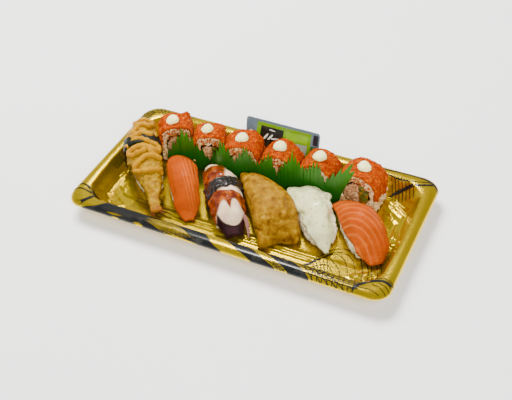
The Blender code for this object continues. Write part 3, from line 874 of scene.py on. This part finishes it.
def nodes_of_rolls(part):
    return [f"roll_{number}_{part}" for number in range(1, len(ROLLS) + 1)]


def press_square(piece):
    """Press the upper half of each roll towards the squarer section of a boxed roll."""
    points = points_of(piece)
    nearest = nearest_roll(points)
    for number, (x, y, turn, half, height, square) in enumerate(ROLLS):
        own = nearest == number
        turn = math.radians(turn)
        away = points[own] - (x, y, ROLL_STAND + 0.55 * height)
        across = away[:, 0] * math.cos(turn) + away[:, 1] * math.sin(turn)
        u, v = np.abs(across) / half, np.clip(away[:, 2] / (0.45 * height), 0, None)
        factor = ((u**ROUND_TOP + v**ROUND_TOP + 1e-9) ** (1 / ROUND_TOP)
                  / (u**square + v**square + 1e-9) ** (1 / square))
        factor = 1 + (factor - 1) * ease(v, 0, 0.35)
        push = across * (factor - 1)
        moved = points[own]
        moved[:, 0] += push * math.cos(turn)
        moved[:, 1] += push * math.sin(turn)
        moved[:, 2] += np.where(v > 0, away[:, 2] * (factor - 1), 0)
        points[own] = moved
    move_points(piece, points)


def make_roll_rice(tinted, coat):
    names = nodes_of_rolls("rice")
    core = copy_nodes("roll_rice_core", names, 0.9, 3)
    press_square(core)
    swell(core, -0.5 + 0.45 * lumps(points_of(core), 3, 21))
    finish(core, "rice", tinted, names, angle=80)

    def shows(at, out):
        open_side = (np.abs(out[:, 1]) > 0.75) | (at[:, 2] < 12)
        return (np.abs(out[:, 2]) < 0.6) & open_side & (at[:, 2] > CLEAR_OF_FLOOR)

    spots, facing = surface_spots(core, 2.3, 22, shows)

    def low_on_coat(at, out):
        ragged = 15.5 + 5.5 * lumps(at, 6, 23)
        return (at[:, 2] < ragged) & (np.abs(out[:, 2]) < 0.7) & (at[:, 2] > CLEAR_OF_FLOOR)

    more, way = surface_spots(coat, 2.6, 24, low_on_coat)
    spots, facing = np.vstack((spots, more)), np.vstack((facing, way))
    grains = strew("roll_rice_grains", rice_grain(), spots, facing, 0.75, 0.3, 25)
    finish(grains, "rice", tinted)
    return core


def roe_coats():
    coat = copy_nodes("roe_coats", nodes_of_rolls("roe"), 0.62, 3)
    press_square(coat)
    return coat


def make_roe(roe, coat, rice_core):
    names = nodes_of_rolls("roe")
    points = points_of(coat)
    x, y, turn = ROLLS[0][:3]
    turn = math.radians(turn)
    across = (points[:, 0] - x) * math.cos(turn) + (points[:, 1] - y) * math.sin(turn)
    along = (points[:, 1] - y) * math.cos(turn) - (points[:, 0] - x) * math.sin(turn)
    for side, ahead, rise in ((-11.5, 2, 3.0), (12.0, 8, 4.2)):
        near = np.exp(-((across - side) / 2.6) ** 2 - ((along - ahead) / 3.5) ** 2)
        points[:, 2] += rise * near * ease(points[:, 2], 20, 30)
    move_points(coat, points)
    height = 0.85 * lumps(points, 6, 31) + 0.5 * lumps(points, 2.6, 32) + 0.4 * beads(points, 1.25, 33)
    height -= 1.5 * (1 - ease(points[:, 2], 11, 18)) * ease(lumps(points, 4, 34), -0.3, 0.3)
    swell(coat, height)
    finish(coat, "roe", roe, names, angle=80)

    def outside(at, out):
        thin = ease(at[:, 2], 11, 18) + 0.5 * lumps(at, 3.5, 35)
        return (thin > 0.35) & (out[:, 2] > -0.5)

    spots, facing = surface_spots(coat, 1.45, 36, outside)

    def over_edge(at, out):
        height = np.array([roll[4] for roll in ROLLS])[nearest_roll(at)]
        reach = at[:, 2] - (height - 7.5) + 5.0 * lumps(at, 3, 39)
        return (reach > 0) & (np.abs(out[:, 2]) < 0.8)

    more, way = surface_spots(rice_core, 1.5, 30, over_edge)
    spots, facing = np.vstack((spots, more + 1.7 * way)), np.vstack((facing, way))
    eggs = strew("roe_eggs", bead("egg", 1), spots, facing, 0.5, 0.25, 37)
    finish(eggs, "roe", roe)


def wobble(piece, size, amount, seed):
    """Shift a piece's points by smooth random steps, keeping its thickness."""
    points = points_of(piece)
    step = np.column_stack([lumps(points, size, seed + k) for k in range(3)])
    move_points(piece, points + amount * step)


def make_roll_hearts(nori, crab, greens):
    names = nodes_of_rolls("nori")
    rings = copy_nodes("roll_nori_rings", names)
    modify(rings, "SUBSURF", levels=2, render_levels=2)
    press_square(rings)
    wobble(rings, 7, 0.7, 41)
    finish(rings, "nori", nori, names, angle=60)
    for slot, material, seed in (("crab", crab, 42), ("greens", greens, 43)):
        names = nodes_of_rolls(slot)
        filling = copy_nodes(f"roll_{slot}_filling", names, 0.65, 3)
        press_square(filling)
        points = points_of(filling)
        swell(filling, 1.0 + 0.8 * lumps(points, 3, seed) + 0.3 * lumps(points, 1.4, seed + 9))
        finish(filling, slot, material, names, angle=60)


def make_mayo(mayo):
    names = nodes_of_rolls("mayo")
    dots = copy_nodes("mayo_dots", names, 0.45, 8)
    points = points_of(dots)
    swell(dots, 0.55 + 0.45 * lumps(points, 5, 45) + 0.12 * lumps(points, 1.8, 46))
    finish(dots, "mayo", mayo, names, angle=80)


# ---------------------------------------------------------------- fish

SQUID_MIDDLE, SQUID_HALF, OCTOPUS_MIDDLE = 43.3, 12, -24.0


def make_salmon(node_name, name, material, pitch, seed, lines, strength, drift):
    slice_ = copy_nodes(name, [node_name], 0.7, 7)
    points = points_of(slice_)
    across, along = to_slant(points)
    low, high = along.min(), along.max()
    share = (along - low) / (high - low)
    middle = (across.max() + across.min()) / 2
    blunt = 0.5 * ease(share, 0.7, 0.97) + 0.18 * (1 - ease(share, 0.02, 0.2))
    pushed = (across - middle) * blunt + drift * ease(share, 0.45, 1.0)
    slide(points, pushed)
    move_points(slice_, points)
    across = across + pushed
    wave = lines(across - middle, share) + 0.35 * lumps(points, 9, seed)
    ridge = np.abs(np.sin(math.pi * wave / pitch))
    fat = (1 - ease(ridge, 0.1, 0.7)) * (0.7 + 0.5 * lumps(points, 12, seed + 1)) * strength(across - middle)
    cross = (1 - ease(np.abs(np.sin(math.pi * along / 1.9)), 0.1, 0.6)) * ease(share, 0.85, 0.97) * 0.15
    mark(slice_, "fat", np.clip(fat + cross, 0, 1))
    swell(slice_, 0.3 + 0.45 * lumps(points, 14, seed + 2) + 0.12 * lumps(points, 3, seed + 3)
          - 0.28 * fat - 0.15 * cross)
    finish(slice_, "salmon", material, [node_name], angle=80)


def make_fish():
    left = raw_salmon("Raw salmon, sliced on the slant, lean", "cc6a26")
    right = raw_salmon("Raw salmon, sliced on the slant, fatty", "d27430")

    def straight(across, share):
        return across * (1 + 0.35 * share) - 4.0 * share

    def curved(across, share):
        return np.hypot(across + 32, (share - 1.0) * 58)

    make_salmon("salmon_left_salmon", "salmon_left_slice", left, 3.3, 51, straight,
                lambda across: 0.08 + 0.6 * ease(across, -3, 2), 0.5)
    make_salmon("salmon_right_salmon", "salmon_right_slice", right, 4.8, 55, curved,
                lambda across: 0.34 - 0.006 * across, 5.0)


def make_squid(squid, speck):
    mantle = copy_nodes("squid_slice", ["squid_nigiri_squid"], 0.7, 8)
    points = points_of(mantle)
    across, along = to_slant(points)
    share = (along - along.min()) / (along.max() - along.min())
    edge = np.abs(across - SQUID_MIDDLE) / SQUID_HALF
    back = 1 - ease(share, 0.0, 0.55)
    pushed = (across - SQUID_MIDDLE) * 0.6 * back + 2.5 * back
    slide(points, pushed)
    points[:, 2] += back * (-1.5 * edge**2 + 1.6 * np.sin(across * 0.55 + 1.0) * edge)
    move_points(mantle, points)
    height = 0.45 + 0.9 * lumps(points, 13, 61) + 2.4 * edge * lumps(points, 6, 62)
    swell(mantle, height)
    finish(mantle, "squid", squid, ["squid_nigiri_squid"], angle=80)
    spots, facing = surface_spots(mantle, 6.5, 63, lambda at, out: out[:, 2] > 0.7)
    flakes = strew("squid_specks", bead("flake", (1, 0.7, 0.25)), spots, facing, 0.45, 0.4, 64)
    finish(flakes, "squid", speck)


def make_octopus(octopus, nori, flesh):
    slab = copy_nodes("octopus_slice", ["octopus_nigiri_octopus"], 0.7, 6)
    points = points_of(slab)
    across, along = to_slant(points)
    p = across - OCTOPUS_MIDDLE
    q = along + 1.2 * lumps(points, 6, 71)
    top = ease(normals_of(slab)[:, 2], 0.05, 0.5)
    lobes = np.exp(-((p + 4.6) / 4.2) ** 2) + np.exp(-((p - 5.2) / 4.2) ** 2)
    front = ease(q, 9, 15) * (1 - ease(q, 24, 33))
    height = 0.3 + 0.6 * lumps(points, 12, 72) + 2.2 * lobes * front * top
    heart = 12.3 * np.sqrt(np.clip(1 - ((q - 15) / 17.5) ** 2, 0, 1)) - 1.5
    purple = ease(np.abs(p - 0.4), heart - 0.5, heart + 0.7) * ease(q, 9, 13)
    left_skin = ease(-p, 9.5, 11.5) * ease(lumps(points, 3.0, 73), -0.25, 0.15) * (1 - ease(q, -2, 3))
    right_skin = ease(p, 13.0, 14.2)
    skin = np.clip(np.maximum.reduce((purple, left_skin, right_skin)), 0, 1)
    back_patch = ease(q, -38, -35.5) * (1 - ease(q, -9, -6)) * (1 - ease(p + 0.18 * (q + 36), 5.5, 8.0))
    notch = 12.5 + 8.0 * np.exp(-((p - 0.4) / 2.0) ** 2) + 0.09 * p * p + 5.0 * ease(p, 9, 13)
    fore_patch = ease(q, 2.0 + 0.25 * p, 3.6 + 0.25 * p) * (1 - ease(q, notch - 0.8, notch + 0.8))
    sauce = np.maximum(back_patch, fore_patch) * ease(top, 0.0, 0.5)
    skin *= 1 - sauce
    mark(slab, "skin", skin)
    mark(slab, "sauce", sauce)
    swell(slab, height + sauce * (0.75 + 0.7 * lumps(points, 3.5, 74)))
    finish(slab, "octopus", octopus, ["octopus_nigiri_octopus"], angle=80)

    band = copy_nodes("octopus_nori_band", ["octopus_nigiri_nori"], 0.42, 2)
    points = points_of(band)
    wobble(band, 4.5, 0.9, 75)
    swell(band, 0.7 + 1.0 * lumps(points, 2.6, 76))
    finish(band, "nori", nori, ["octopus_nigiri_nori"], angle=80)

    def flap_place(u, v):
        bend = 1.8 * math.sin(math.pi * v)
        width = 1.5 * math.sin(math.pi * min(1.0, 0.25 + 0.75 * v)) + 0.2
        return from_slant(OCTOPUS_MIDDLE + 11.0 + bend * 0.6 + width * (u - 0.5) * 2, 24 + 17 * v,
                          13.5 - 10.5 * v ** 1.3 + 0.8 * math.cos(math.pi * (u - 0.5)))

    flap = shaped_grid("octopus_flap", 8, 24, flap_place)
    edit_all(flap, face_out)
    modify(flap, "SOLIDIFY", thickness=0.9 * MM, offset=0)
    modify(flap, "SUBSURF", levels=1, render_levels=1)
    finish(flap, "octopus", flesh, angle=80)


# ---------------------------------------------------------------- prawn

PRAWN_MIDDLE = (-79.5, -83.0, -84.6, -84.3, -83.2, -82.2, -82.4, -82.6)
PRAWN_HALF = (8.0, 13.4, 14.8, 13.8, 11.2, 7.0, 4.2, 5.0)
PRAWN_START, PRAWN_END = -104.0, 8.0
STRAND_RADIUS = 2.0
# Strands of sauce: share of the half width across, and share of the length along
STRANDS = (((-0.35, 0.12), (-0.6, 0.06), (0.0, 0.035), (0.65, 0.045), (0.8, 0.09), (0.5, 0.135),
            (0.05, 0.1), (-0.4, 0.15), (-0.6, 0.185), (-0.2, 0.215), (0.2, 0.2), (-0.1, 0.17)),
           ((-0.6, 0.25), (-0.2, 0.235), (0.15, 0.215), (0.5, 0.24), (0.95, 0.228)),
           ((-0.95, 0.31), (-0.5, 0.27), (0.0, 0.275), (0.4, 0.315), (0.75, 0.33), (0.97, 0.37),
            (0.8, 0.41), (0.4, 0.385), (0.0, 0.362), (-0.5, 0.36), (-0.92, 0.372), (-0.8, 0.405),
            (-0.3, 0.412), (0.15, 0.4)),
           ((0.3, 0.385), (0.6, 0.45), (0.95, 0.468), (0.6, 0.462), (0.15, 0.452), (-0.38, 0.485),
            (-0.85, 0.518), (-0.92, 0.56), (-0.35, 0.602), (0.3, 0.608), (0.97, 0.585)))


def make_prawn(batter, sauce, nori, shell):
    prawn = copy_nodes("prawn_in_batter", ["prawn_nigiri_prawn"], 0.75, 6)
    points = points_of(prawn)
    share = (to_slant(points)[1] - PRAWN_START) / (PRAWN_END - PRAWN_START)
    tail = ease(share, 0.93, 0.99)
    height = (0.4 + 1.3 * lumps(points, 7, 81) + 1.1 * lumps(points, 3.4, 82)
              + 1.0 * np.abs(lumps(points, 1.7, 83)))
    swell(prawn, height * (1 - 0.6 * tail))
    mark(prawn, "tail", tail * 0.7)
    finish(prawn, "batter", batter, ["prawn_nigiri_prawn"], angle=80)
    tree = surface_tree(prawn)

    strands = []
    for number, knots in enumerate(STRANDS):
        course = along_curve(knots, 12 * len(knots))
        spots = []
        for s, t in course:
            place = t * (len(PRAWN_MIDDLE) - 1)
            middle = np.interp(place, range(len(PRAWN_MIDDLE)), PRAWN_MIDDLE)
            half = np.interp(place, range(len(PRAWN_HALF)), PRAWN_HALF)
            start = from_slant(middle + s * half, PRAWN_START + (PRAWN_END - PRAWN_START) * t, ABOVE_FOOD)
            hit = tree.ray_cast(start * MM, Vector((0, 0, -1)))[0]
            spots.append((hit / MM if hit else start) + Vector((0, 0, 1.1)))
        heights = np.array([spot.z for spot in spots])
        heights = np.convolve(np.pad(heights, 3, mode="edge"), np.ones(7) / 7, mode="valid")
        line = bpy.data.curves.new("strand", "CURVE")
        line.dimensions = "3D"
        spline = line.splines.new("POLY")
        spline.points.add(len(spots) - 1)
        for k, spot in enumerate(spots):
            spline.points[k].co = (spot.x * MM, spot.y * MM, heights[k] * MM, 1)
            spline.points[k].radius = 1 + 0.12 * math.sin(k * 0.7 + number)
        line.bevel_depth = STRAND_RADIUS * MM
        line.bevel_resolution = 3
        line.use_fill_caps = True
        strand = bpy.data.objects.new("strand", line)
        bpy.context.scene.collection.objects.link(strand)
        pick(strand)
        bpy.ops.object.convert(target="MESH")
        strands.append(bpy.context.object)
    ropes = join("chilli_mayo_strands", strands)
    soften(ropes, 0.5, 4)
    swell(ropes, 0.35 + 0.25 * lumps(points_of(ropes), 3, 84))
    finish(ropes, "batter", sauce, angle=80)

    band = copy_nodes("prawn_nori_band", ["prawn_nigiri_nori"], 0.42, 2)
    wobble(band, 6, 0.7, 85)
    swell(band, np.full(len(band.data.vertices), 0.9))
    finish(band, "nori", nori, ["prawn_nigiri_nori"], angle=80)

    fins = []
    for side, reach in ((-1, 9.5), (1, 7.0)):
        deselect()
        bpy.ops.mesh.primitive_uv_sphere_add(segments=20, ring_count=12, radius=1)
        fin = named("fin")
        ball = points_of(fin) * MM
        spread = side * (2.2 + 1.5 * (ball[:, 0] + 1) / 2)
        across = -82.4 + spread + ball[:, 1] * 2.1
        along = 5.5 + ball[:, 0] * reach / 2
        lift = 18.6 + ball[:, 2] * 1.5 - 0.8 * (ball[:, 0] + 1)
        move_points(fin, np.array([from_slant(*spot) for spot in zip(across, along, lift)]))
        fins.append(fin)
    tail_fins = join("prawn_tail_fins", fins)
    edit_all(tail_fins, face_out)
    swell(tail_fins, 0.35 * lumps(points_of(tail_fins), 2.2, 86))
    finish(tail_fins, "batter", shell, angle=80)


# ---------------------------------------------------------------- pouch

POUCH_START, POUCH_LENGTH = -28, 82.5


def make_pouch(skin):
    pouch = copy_nodes("bean_curd_skin", ["bean_curd_pouch"], 0.85, 7)
    points = points_of(pouch)
    across, along = to_slant(points)
    share = (along - POUCH_START) / POUCH_LENGTH
    stretched = np.column_stack((across, along * 0.5, points[:, 2]))
    fold = across - (-1 + 22 * ease(share, 0.0, 0.75) + 3 * lumps(points, 14, 91))
    flap = ease(fold, -0.6, 0.6) * (1 - ease(share, 0.68, 0.85)) * ease(share, 0.04, 0.12)
    low = ease(share, 0.45, 0.85)
    ridges = np.abs(lumps(stretched, 5.5, 92))
    fine = np.abs(lumps(stretched, 2.6, 93))
    # crease finds the sunk creases and the flap's fold; it sinks them and, through the crease mark, also
    # paints shade into them.
    crease = (1 - ease(ridges, 0.0, 0.14)) * low * 0.7 + (1 - ease(np.abs(fold), 0.0, 0.9)) * flap * 0.8
    nubs = 3.2 * np.exp(-(((across + 5) / 4) ** 2 + ((along - 53) / 5) ** 2))
    nubs += 2.4 * np.exp(-(((across - 26) / 5) ** 2 + ((along - 50) / 6) ** 2))
    dent = 2.4 * np.exp(-(((across - 9) / 8) ** 2 + ((along - 56) / 5) ** 2))
    height = (0.3 + 0.8 * lumps(points, 18, 94) + 1.0 * flap + 0.55 * ridges * (0.2 + low)
              + 0.3 * fine * (0.4 + low) + 0.22 * lumps(points, 1.9, 95) - 0.7 * crease + nubs - dent)
    swell(pouch, height)
    # The crease mark carries painted shade into the creases' colour.
    mark(pouch, "crease", np.clip(crease, 0, 1) * 0.55)
    finish(pouch, "pouch", skin, ["bean_curd_pouch"], angle=80)


# ---------------------------------------------------------------- grass strip

LEAF_ROUTE = ((-92.0, 15.6), (-80.0, 19.0), (-69.5, 21.1), (-56.0, 22.6), (-43.0, 19.4),
              (-30.0, 20.6), (-16.0, 21.8), (-4.0, 21.0), (12.0, 22.0), (27.0, 23.0),
              (44.0, 23.0), (60.0, 23.8), (72.0, 24.6), (83.0, 24.2))
# Each fan of blades: left end, peak and right end along the strip; height at each; blades; lean at the right
LEAF_FANS = ((-93.0, -76.5, -53.0, 14, 46.0, 16, 9, 0), (-53.0, -39.0, -28.0, 15, 45.5, 25, 7, 1),
             (-28.0, -17.5, -7.0, 24, 44.5, 29, 6, 0), (-7.0, 5.5, 11.5, 28, 45.0, 21, 6, 1),
             (11.5, 25.5, 36.5, 21, 50.5, 35, 8, 0), (36.5, 48.5, 54.8, 34, 49.0, 26, 6, 1),
             (54.8, 64.0, 67.0, 26, 54.5, 40, 5, 20))
LEAF_FOOT, BLADE_DEPTH, BLADE_STEPS = 1.8, 12.0, 8


def leaf_columns():
    """Foot x, top x, top height and bend of each upright line in the strip."""
    draw = np.random.default_rng(101)
    columns = []
    for left, peak_x, right, low_left, peak, low_right, blades, lean in LEAF_FANS:
        for blade in range(blades):
            uneven = 3.5 * (draw.random() - 0.6)
            bend = 1.6 * (draw.random() - 0.5)
            for step in range(BLADE_STEPS):
                part = step / BLADE_STEPS
                f = (blade + part) / blades
                foot_x = left + (right - left) * f
                if foot_x < peak_x:
                    rise = ((foot_x - left) / (peak_x - left)) ** 0.85
                    outline = low_left + (peak - low_left) * rise
                else:
                    rise = ((right - foot_x) / (right - peak_x)) ** 0.9
                    outline = low_right + (peak - low_right) * rise
                point = (1 - abs(2 * part - 1)) ** 1.05
                keen = min(1.0, 0.35 + 0.65 * rise)
                top = outline + (uneven * rise - BLADE_DEPTH * keen * (1 - point)) + 1.5 * keen
                slant = lean * f * max(0.0, (top - 12) / 40) ** 1.3
                columns.append((foot_x, foot_x + slant, top, bend * point))
    columns.append((columns[-1][0] + 0.4, columns[-1][1] - 4.0, 30.0, 0))
    return columns


def make_leaf(film):
    columns = leaf_columns()
    route = np.array(LEAF_ROUTE)
    rows = 10

    def place(u, v):
        foot_x, top_x, top, bend = columns[round(u * (len(columns) - 1))]
        k = np.clip(np.searchsorted(route[:, 0], foot_x), 1, len(route) - 1)
        f = np.clip((foot_x - route[k - 1, 0]) / (route[k, 0] - route[k - 1, 0]), 0, 1)
        y = route[k - 1, 1] + (route[k, 1] - route[k - 1, 1]) * f * f * (3 - 2 * f)
        return (foot_x + (top_x - foot_x) * v ** 1.6, y + 0.25 + bend * v * v,
                LEAF_FOOT + (top - LEAF_FOOT) * v)

    strip = shaped_grid("grass_strip", len(columns) - 1, rows, place)
    modify(strip, "SOLIDIFY", thickness=0.3 * MM, offset=0)
    edit_all(strip, face_out)
    finish(strip, "leaf", film, ["leaf_strip"], angle=40)


# ---------------------------------------------------------------- sachet

SACHET_HALF, SACHET_TALL, SACHET_LEAN = 35.0, 40.5, math.radians(12.5)
SACHET_FOOT = (53.9, 2.7)
# Fields of colour on the front: left, right, low and high edge, layer and colour
SACHET_FIELDS = ((-34.4, -24.5, 0.5, 17, 1, "0e5a38"), (27.5, 34.4, 0.5, 27, 1, "0e5a38"),
                 (-24.5, 27.5, 1.5, 38.6, 1, "689600"), (-20.5, 1.5, 4, 35.5, 2, "12140f"),
                 (4, 24.5, 28.5, 35.5, 2, "7aa800"), (9, 24.5, 17, 27, 2, "8c988c"),
                 (4, 24.5, 4, 15.5, 2, "12140f"), (29.5, 34, 28.5, 38.5, 2, "1c2028"))


def sachet_point(x, up, out):
    """A place on the sachet: across it, up it, and out from its middle plane towards the front."""
    return (x, SACHET_FOOT[0] + up * math.sin(SACHET_LEAN) - out * math.cos(SACHET_LEAN),
            SACHET_FOOT[1] + up * math.cos(SACHET_LEAN) + out * math.sin(SACHET_LEAN))


def sachet_swell(x, up):
    """Half thickness of the filled sachet, flat and crimped along its sealed border."""
    side = min(SACHET_HALF - abs(x), up, SACHET_TALL - up)
    fill = float(ease(side, 3.2, 14))
    crimp = 0.1 * math.sin(up * 5.0) * float(1 - ease(side, 2.8, 3.4))
    rumple = 0.5 * fill * math.sin(x * 0.31 + 1.0) * math.sin(up * 0.22)
    return 0.15 + 1.9 * fill + rumple, crimp


def on_front(x, up, lift):
    """A place for print on the sachet's front, lifted off it."""
    half, crimp = sachet_swell(x, up)
    return sachet_point(x * 0.985, 0.6 + up * 0.97, half + crimp + lift)


def make_sachet(film, inks):
    halves = []
    for facing in (1, -1):
        def place(u, v):
            x, up = (2 * u - 1) * SACHET_HALF, v * SACHET_TALL
            cut = max(0.0, abs(x) - (SACHET_HALF - 3)) / 3
            drop = 0.14 * (1 - math.sqrt(1 - min(cut, 1) ** 2))
            up = SACHET_TALL / 2 + (up - SACHET_TALL / 2) * (1 - drop)
            half, crimp = sachet_swell(x, up)
            edge = min(u, 1 - u, v, 1 - v)
            return sachet_point(x, up, (facing * half if edge > 0.001 else 0.0) + crimp)

        halves.append(shaped_grid("half", 110, 64, place))
    sachet = join("sauce_sachet_film", halves)
    edit_all(sachet, lambda: weld(0.00002), face_out)
    finish(sachet, "sachet", film, ["sauce_sachet"], angle=50)

    def patch(name, left, right, low, high, layer, material):
        def place(u, v):
            x, up = left + (right - left) * u, low + (high - low) * v
            return on_front(x, up, 0.14 + 0.1 * layer)

        made = shaped_grid(name, 54, 44, place)
        face_towards(made, 1, -1)
        finish(made, "sachet", material, angle=50)

    for number, (left, right, low, high, layer, colour) in enumerate(SACHET_FIELDS, start=1):
        patch(f"sachet_print_{number}", left, right, low, high, layer, inks(colour))

    def sweep(name, centre_x, centre_up, wide, tall, turn, material):
        def place(u, v):
            angle, radius = 2 * math.pi * u, v
            a, b = wide * radius * math.cos(angle), tall * radius * math.sin(angle)
            x = centre_x + a * math.cos(turn) - b * math.sin(turn)
            up = centre_up + a * math.sin(turn) + b * math.cos(turn)
            return on_front(x, up, 0.45)

        made = shaped_grid(name, 28, 3, place)
        edit_all(made, lambda: weld(0.00002))
        face_towards(made, 1, -1)
        finish(made, "sachet", material, angle=50)

    pale = inks("e8ebe0")
    for number, (x, up, wide, tall, turn) in enumerate(
            ((-15, 26, 4.2, 0.9, 1.0), (-10.5, 26.5, 3.8, 0.8, 0.9), (-5.5, 26, 4.6, 0.8, 0.15),
             (-30, 26, 2.8, 2.8, 0.0), (-9.5, 33, 3.0, 0.45, -0.1)), start=1):
        sweep(f"sachet_mark_{number}", x, up, wide, tall, turn, pale)
    sweep("sachet_mark_6", -21, 19, 1.8, 1.4, 0.0, inks("b5202a"))


# ---------------------------------------------------------------- studio

# Name, place in metres, size, power, and whether it shows in reflections: only the small one does
LAMPS = (("key", (-0.9, 0.7, 1.75), 1.0, 112.0, False), ("fill", (1.1, -1.3, 1.5), 1.2, 75.0, False),
         ("spark", (-0.45, 0.75, 1.3), 0.26, 7.5, True))
WARM_WHITE = (1.0, 0.965, 0.88)
CAMERA_PLACE = (0.24919, -0.47842, 0.5016)  # metres
CAMERA_ANGLES = (27.312, 42.573, -2.831)  # turn, lift and roll in degrees
CAMERA_LENS = (60.62, 36)  # focal length and sensor width in millimetres


def make_studio():
    deselect()
    bpy.ops.mesh.primitive_plane_add(size=6)
    floor = named("studio_floor")
    floor.data.materials.append(mottled("Matt white paper", (300,), ((0.3, "f2f5fb"), (0.7, "f5f8fe")),
                                        Roughness=0.9))
    move_points(floor, points_of(floor) - (0, 0, 0.05))

    world = bpy.data.worlds.new("Studio")
    bpy.context.scene.world = world
    world.use_nodes = True
    sky = world.node_tree
    way = sky.nodes.new("ShaderNodeTexCoord").outputs["Generated"]
    height = node(sky, "SeparateXYZ", {"Vector": way}).outputs["Z"]
    dusk = node(sky, "MapRange", {"Value": height, "From Min": 0.05, "From Max": 0.55, "To Min": 0.85,
                                  "To Max": 0.33})
    sky.links.new(dusk.outputs["Result"], sky.nodes["Background"].inputs["Strength"])
    sky.nodes["Background"].inputs["Color"].default_value = (1, 1, 1, 1)

    for name, place, size, power, shines in LAMPS:
        light = bpy.data.lights.new(name, "AREA")
        light.size = size
        light.energy = power
        light.color = WARM_WHITE
        lamp = bpy.data.objects.new(name, light)
        lamp.location = place
        lamp.rotation_euler = (-Vector(place)).to_track_quat("-Z", "Y").to_euler()
        lamp.visible_glossy = shines
        bpy.context.scene.collection.objects.link(lamp)

    turn, lift, roll = map(math.radians, CAMERA_ANGLES)
    back = Vector((math.sin(turn) * math.cos(lift), -math.cos(turn) * math.cos(lift), math.sin(lift)))
    level = Vector((math.cos(turn), math.sin(turn), 0))
    rise = back.cross(level)
    right = level * math.cos(roll) + rise * math.sin(roll)
    up = rise * math.cos(roll) - level * math.sin(roll)
    lens = bpy.data.cameras.new("camera")
    lens.lens, lens.sensor_width = CAMERA_LENS
    lens.clip_start = 0.01
    camera = bpy.data.objects.new("camera", lens)
    camera.matrix_world = (Matrix.Translation(CAMERA_PLACE)
                           @ Matrix((right, up, back)).transposed().to_4x4())
    bpy.context.scene.collection.objects.link(camera)
    bpy.context.scene.camera = camera


def main():
    make_studio()
    gold = gold_film()
    ink = coated("Black gravure ink under lacquer", "0c0d0e")
    tray_surface = make_tray(gold, ink)
    make_print(tray_surface, gold, ink)
    rice = cooked_rice()
    make_nigiri_rice(rice)
    coat = roe_coats()
    rice_core = make_roll_rice(stained_rice(), coat)
    make_roe(fish_roe(), coat, rice_core)
    dry_nori = pressed_nori()
    make_roll_hearts(dry_nori, shredded_crab(), cut_greens())
    make_mayo(whipped_mayo())
    make_fish()
    make_squid(raw_squid(), specks())
    make_octopus(boiled_octopus(), glazed_nori(), coated("Octopus membrane, boiled", "7c524c", 0.35))
    make_prawn(fried_batter(), chilli_mayo(), dry_nori, coated("Prawn tail shell, fried", "5e2a04", 0.35))
    make_pouch(fried_bean_curd())
    make_leaf(cut_grass())
    make_sachet(coated("Silver laminate film", "5e7484", 0.34),
                lambda colour: coated(f"Sachet ink {colour}", colour, 0.35))


main()
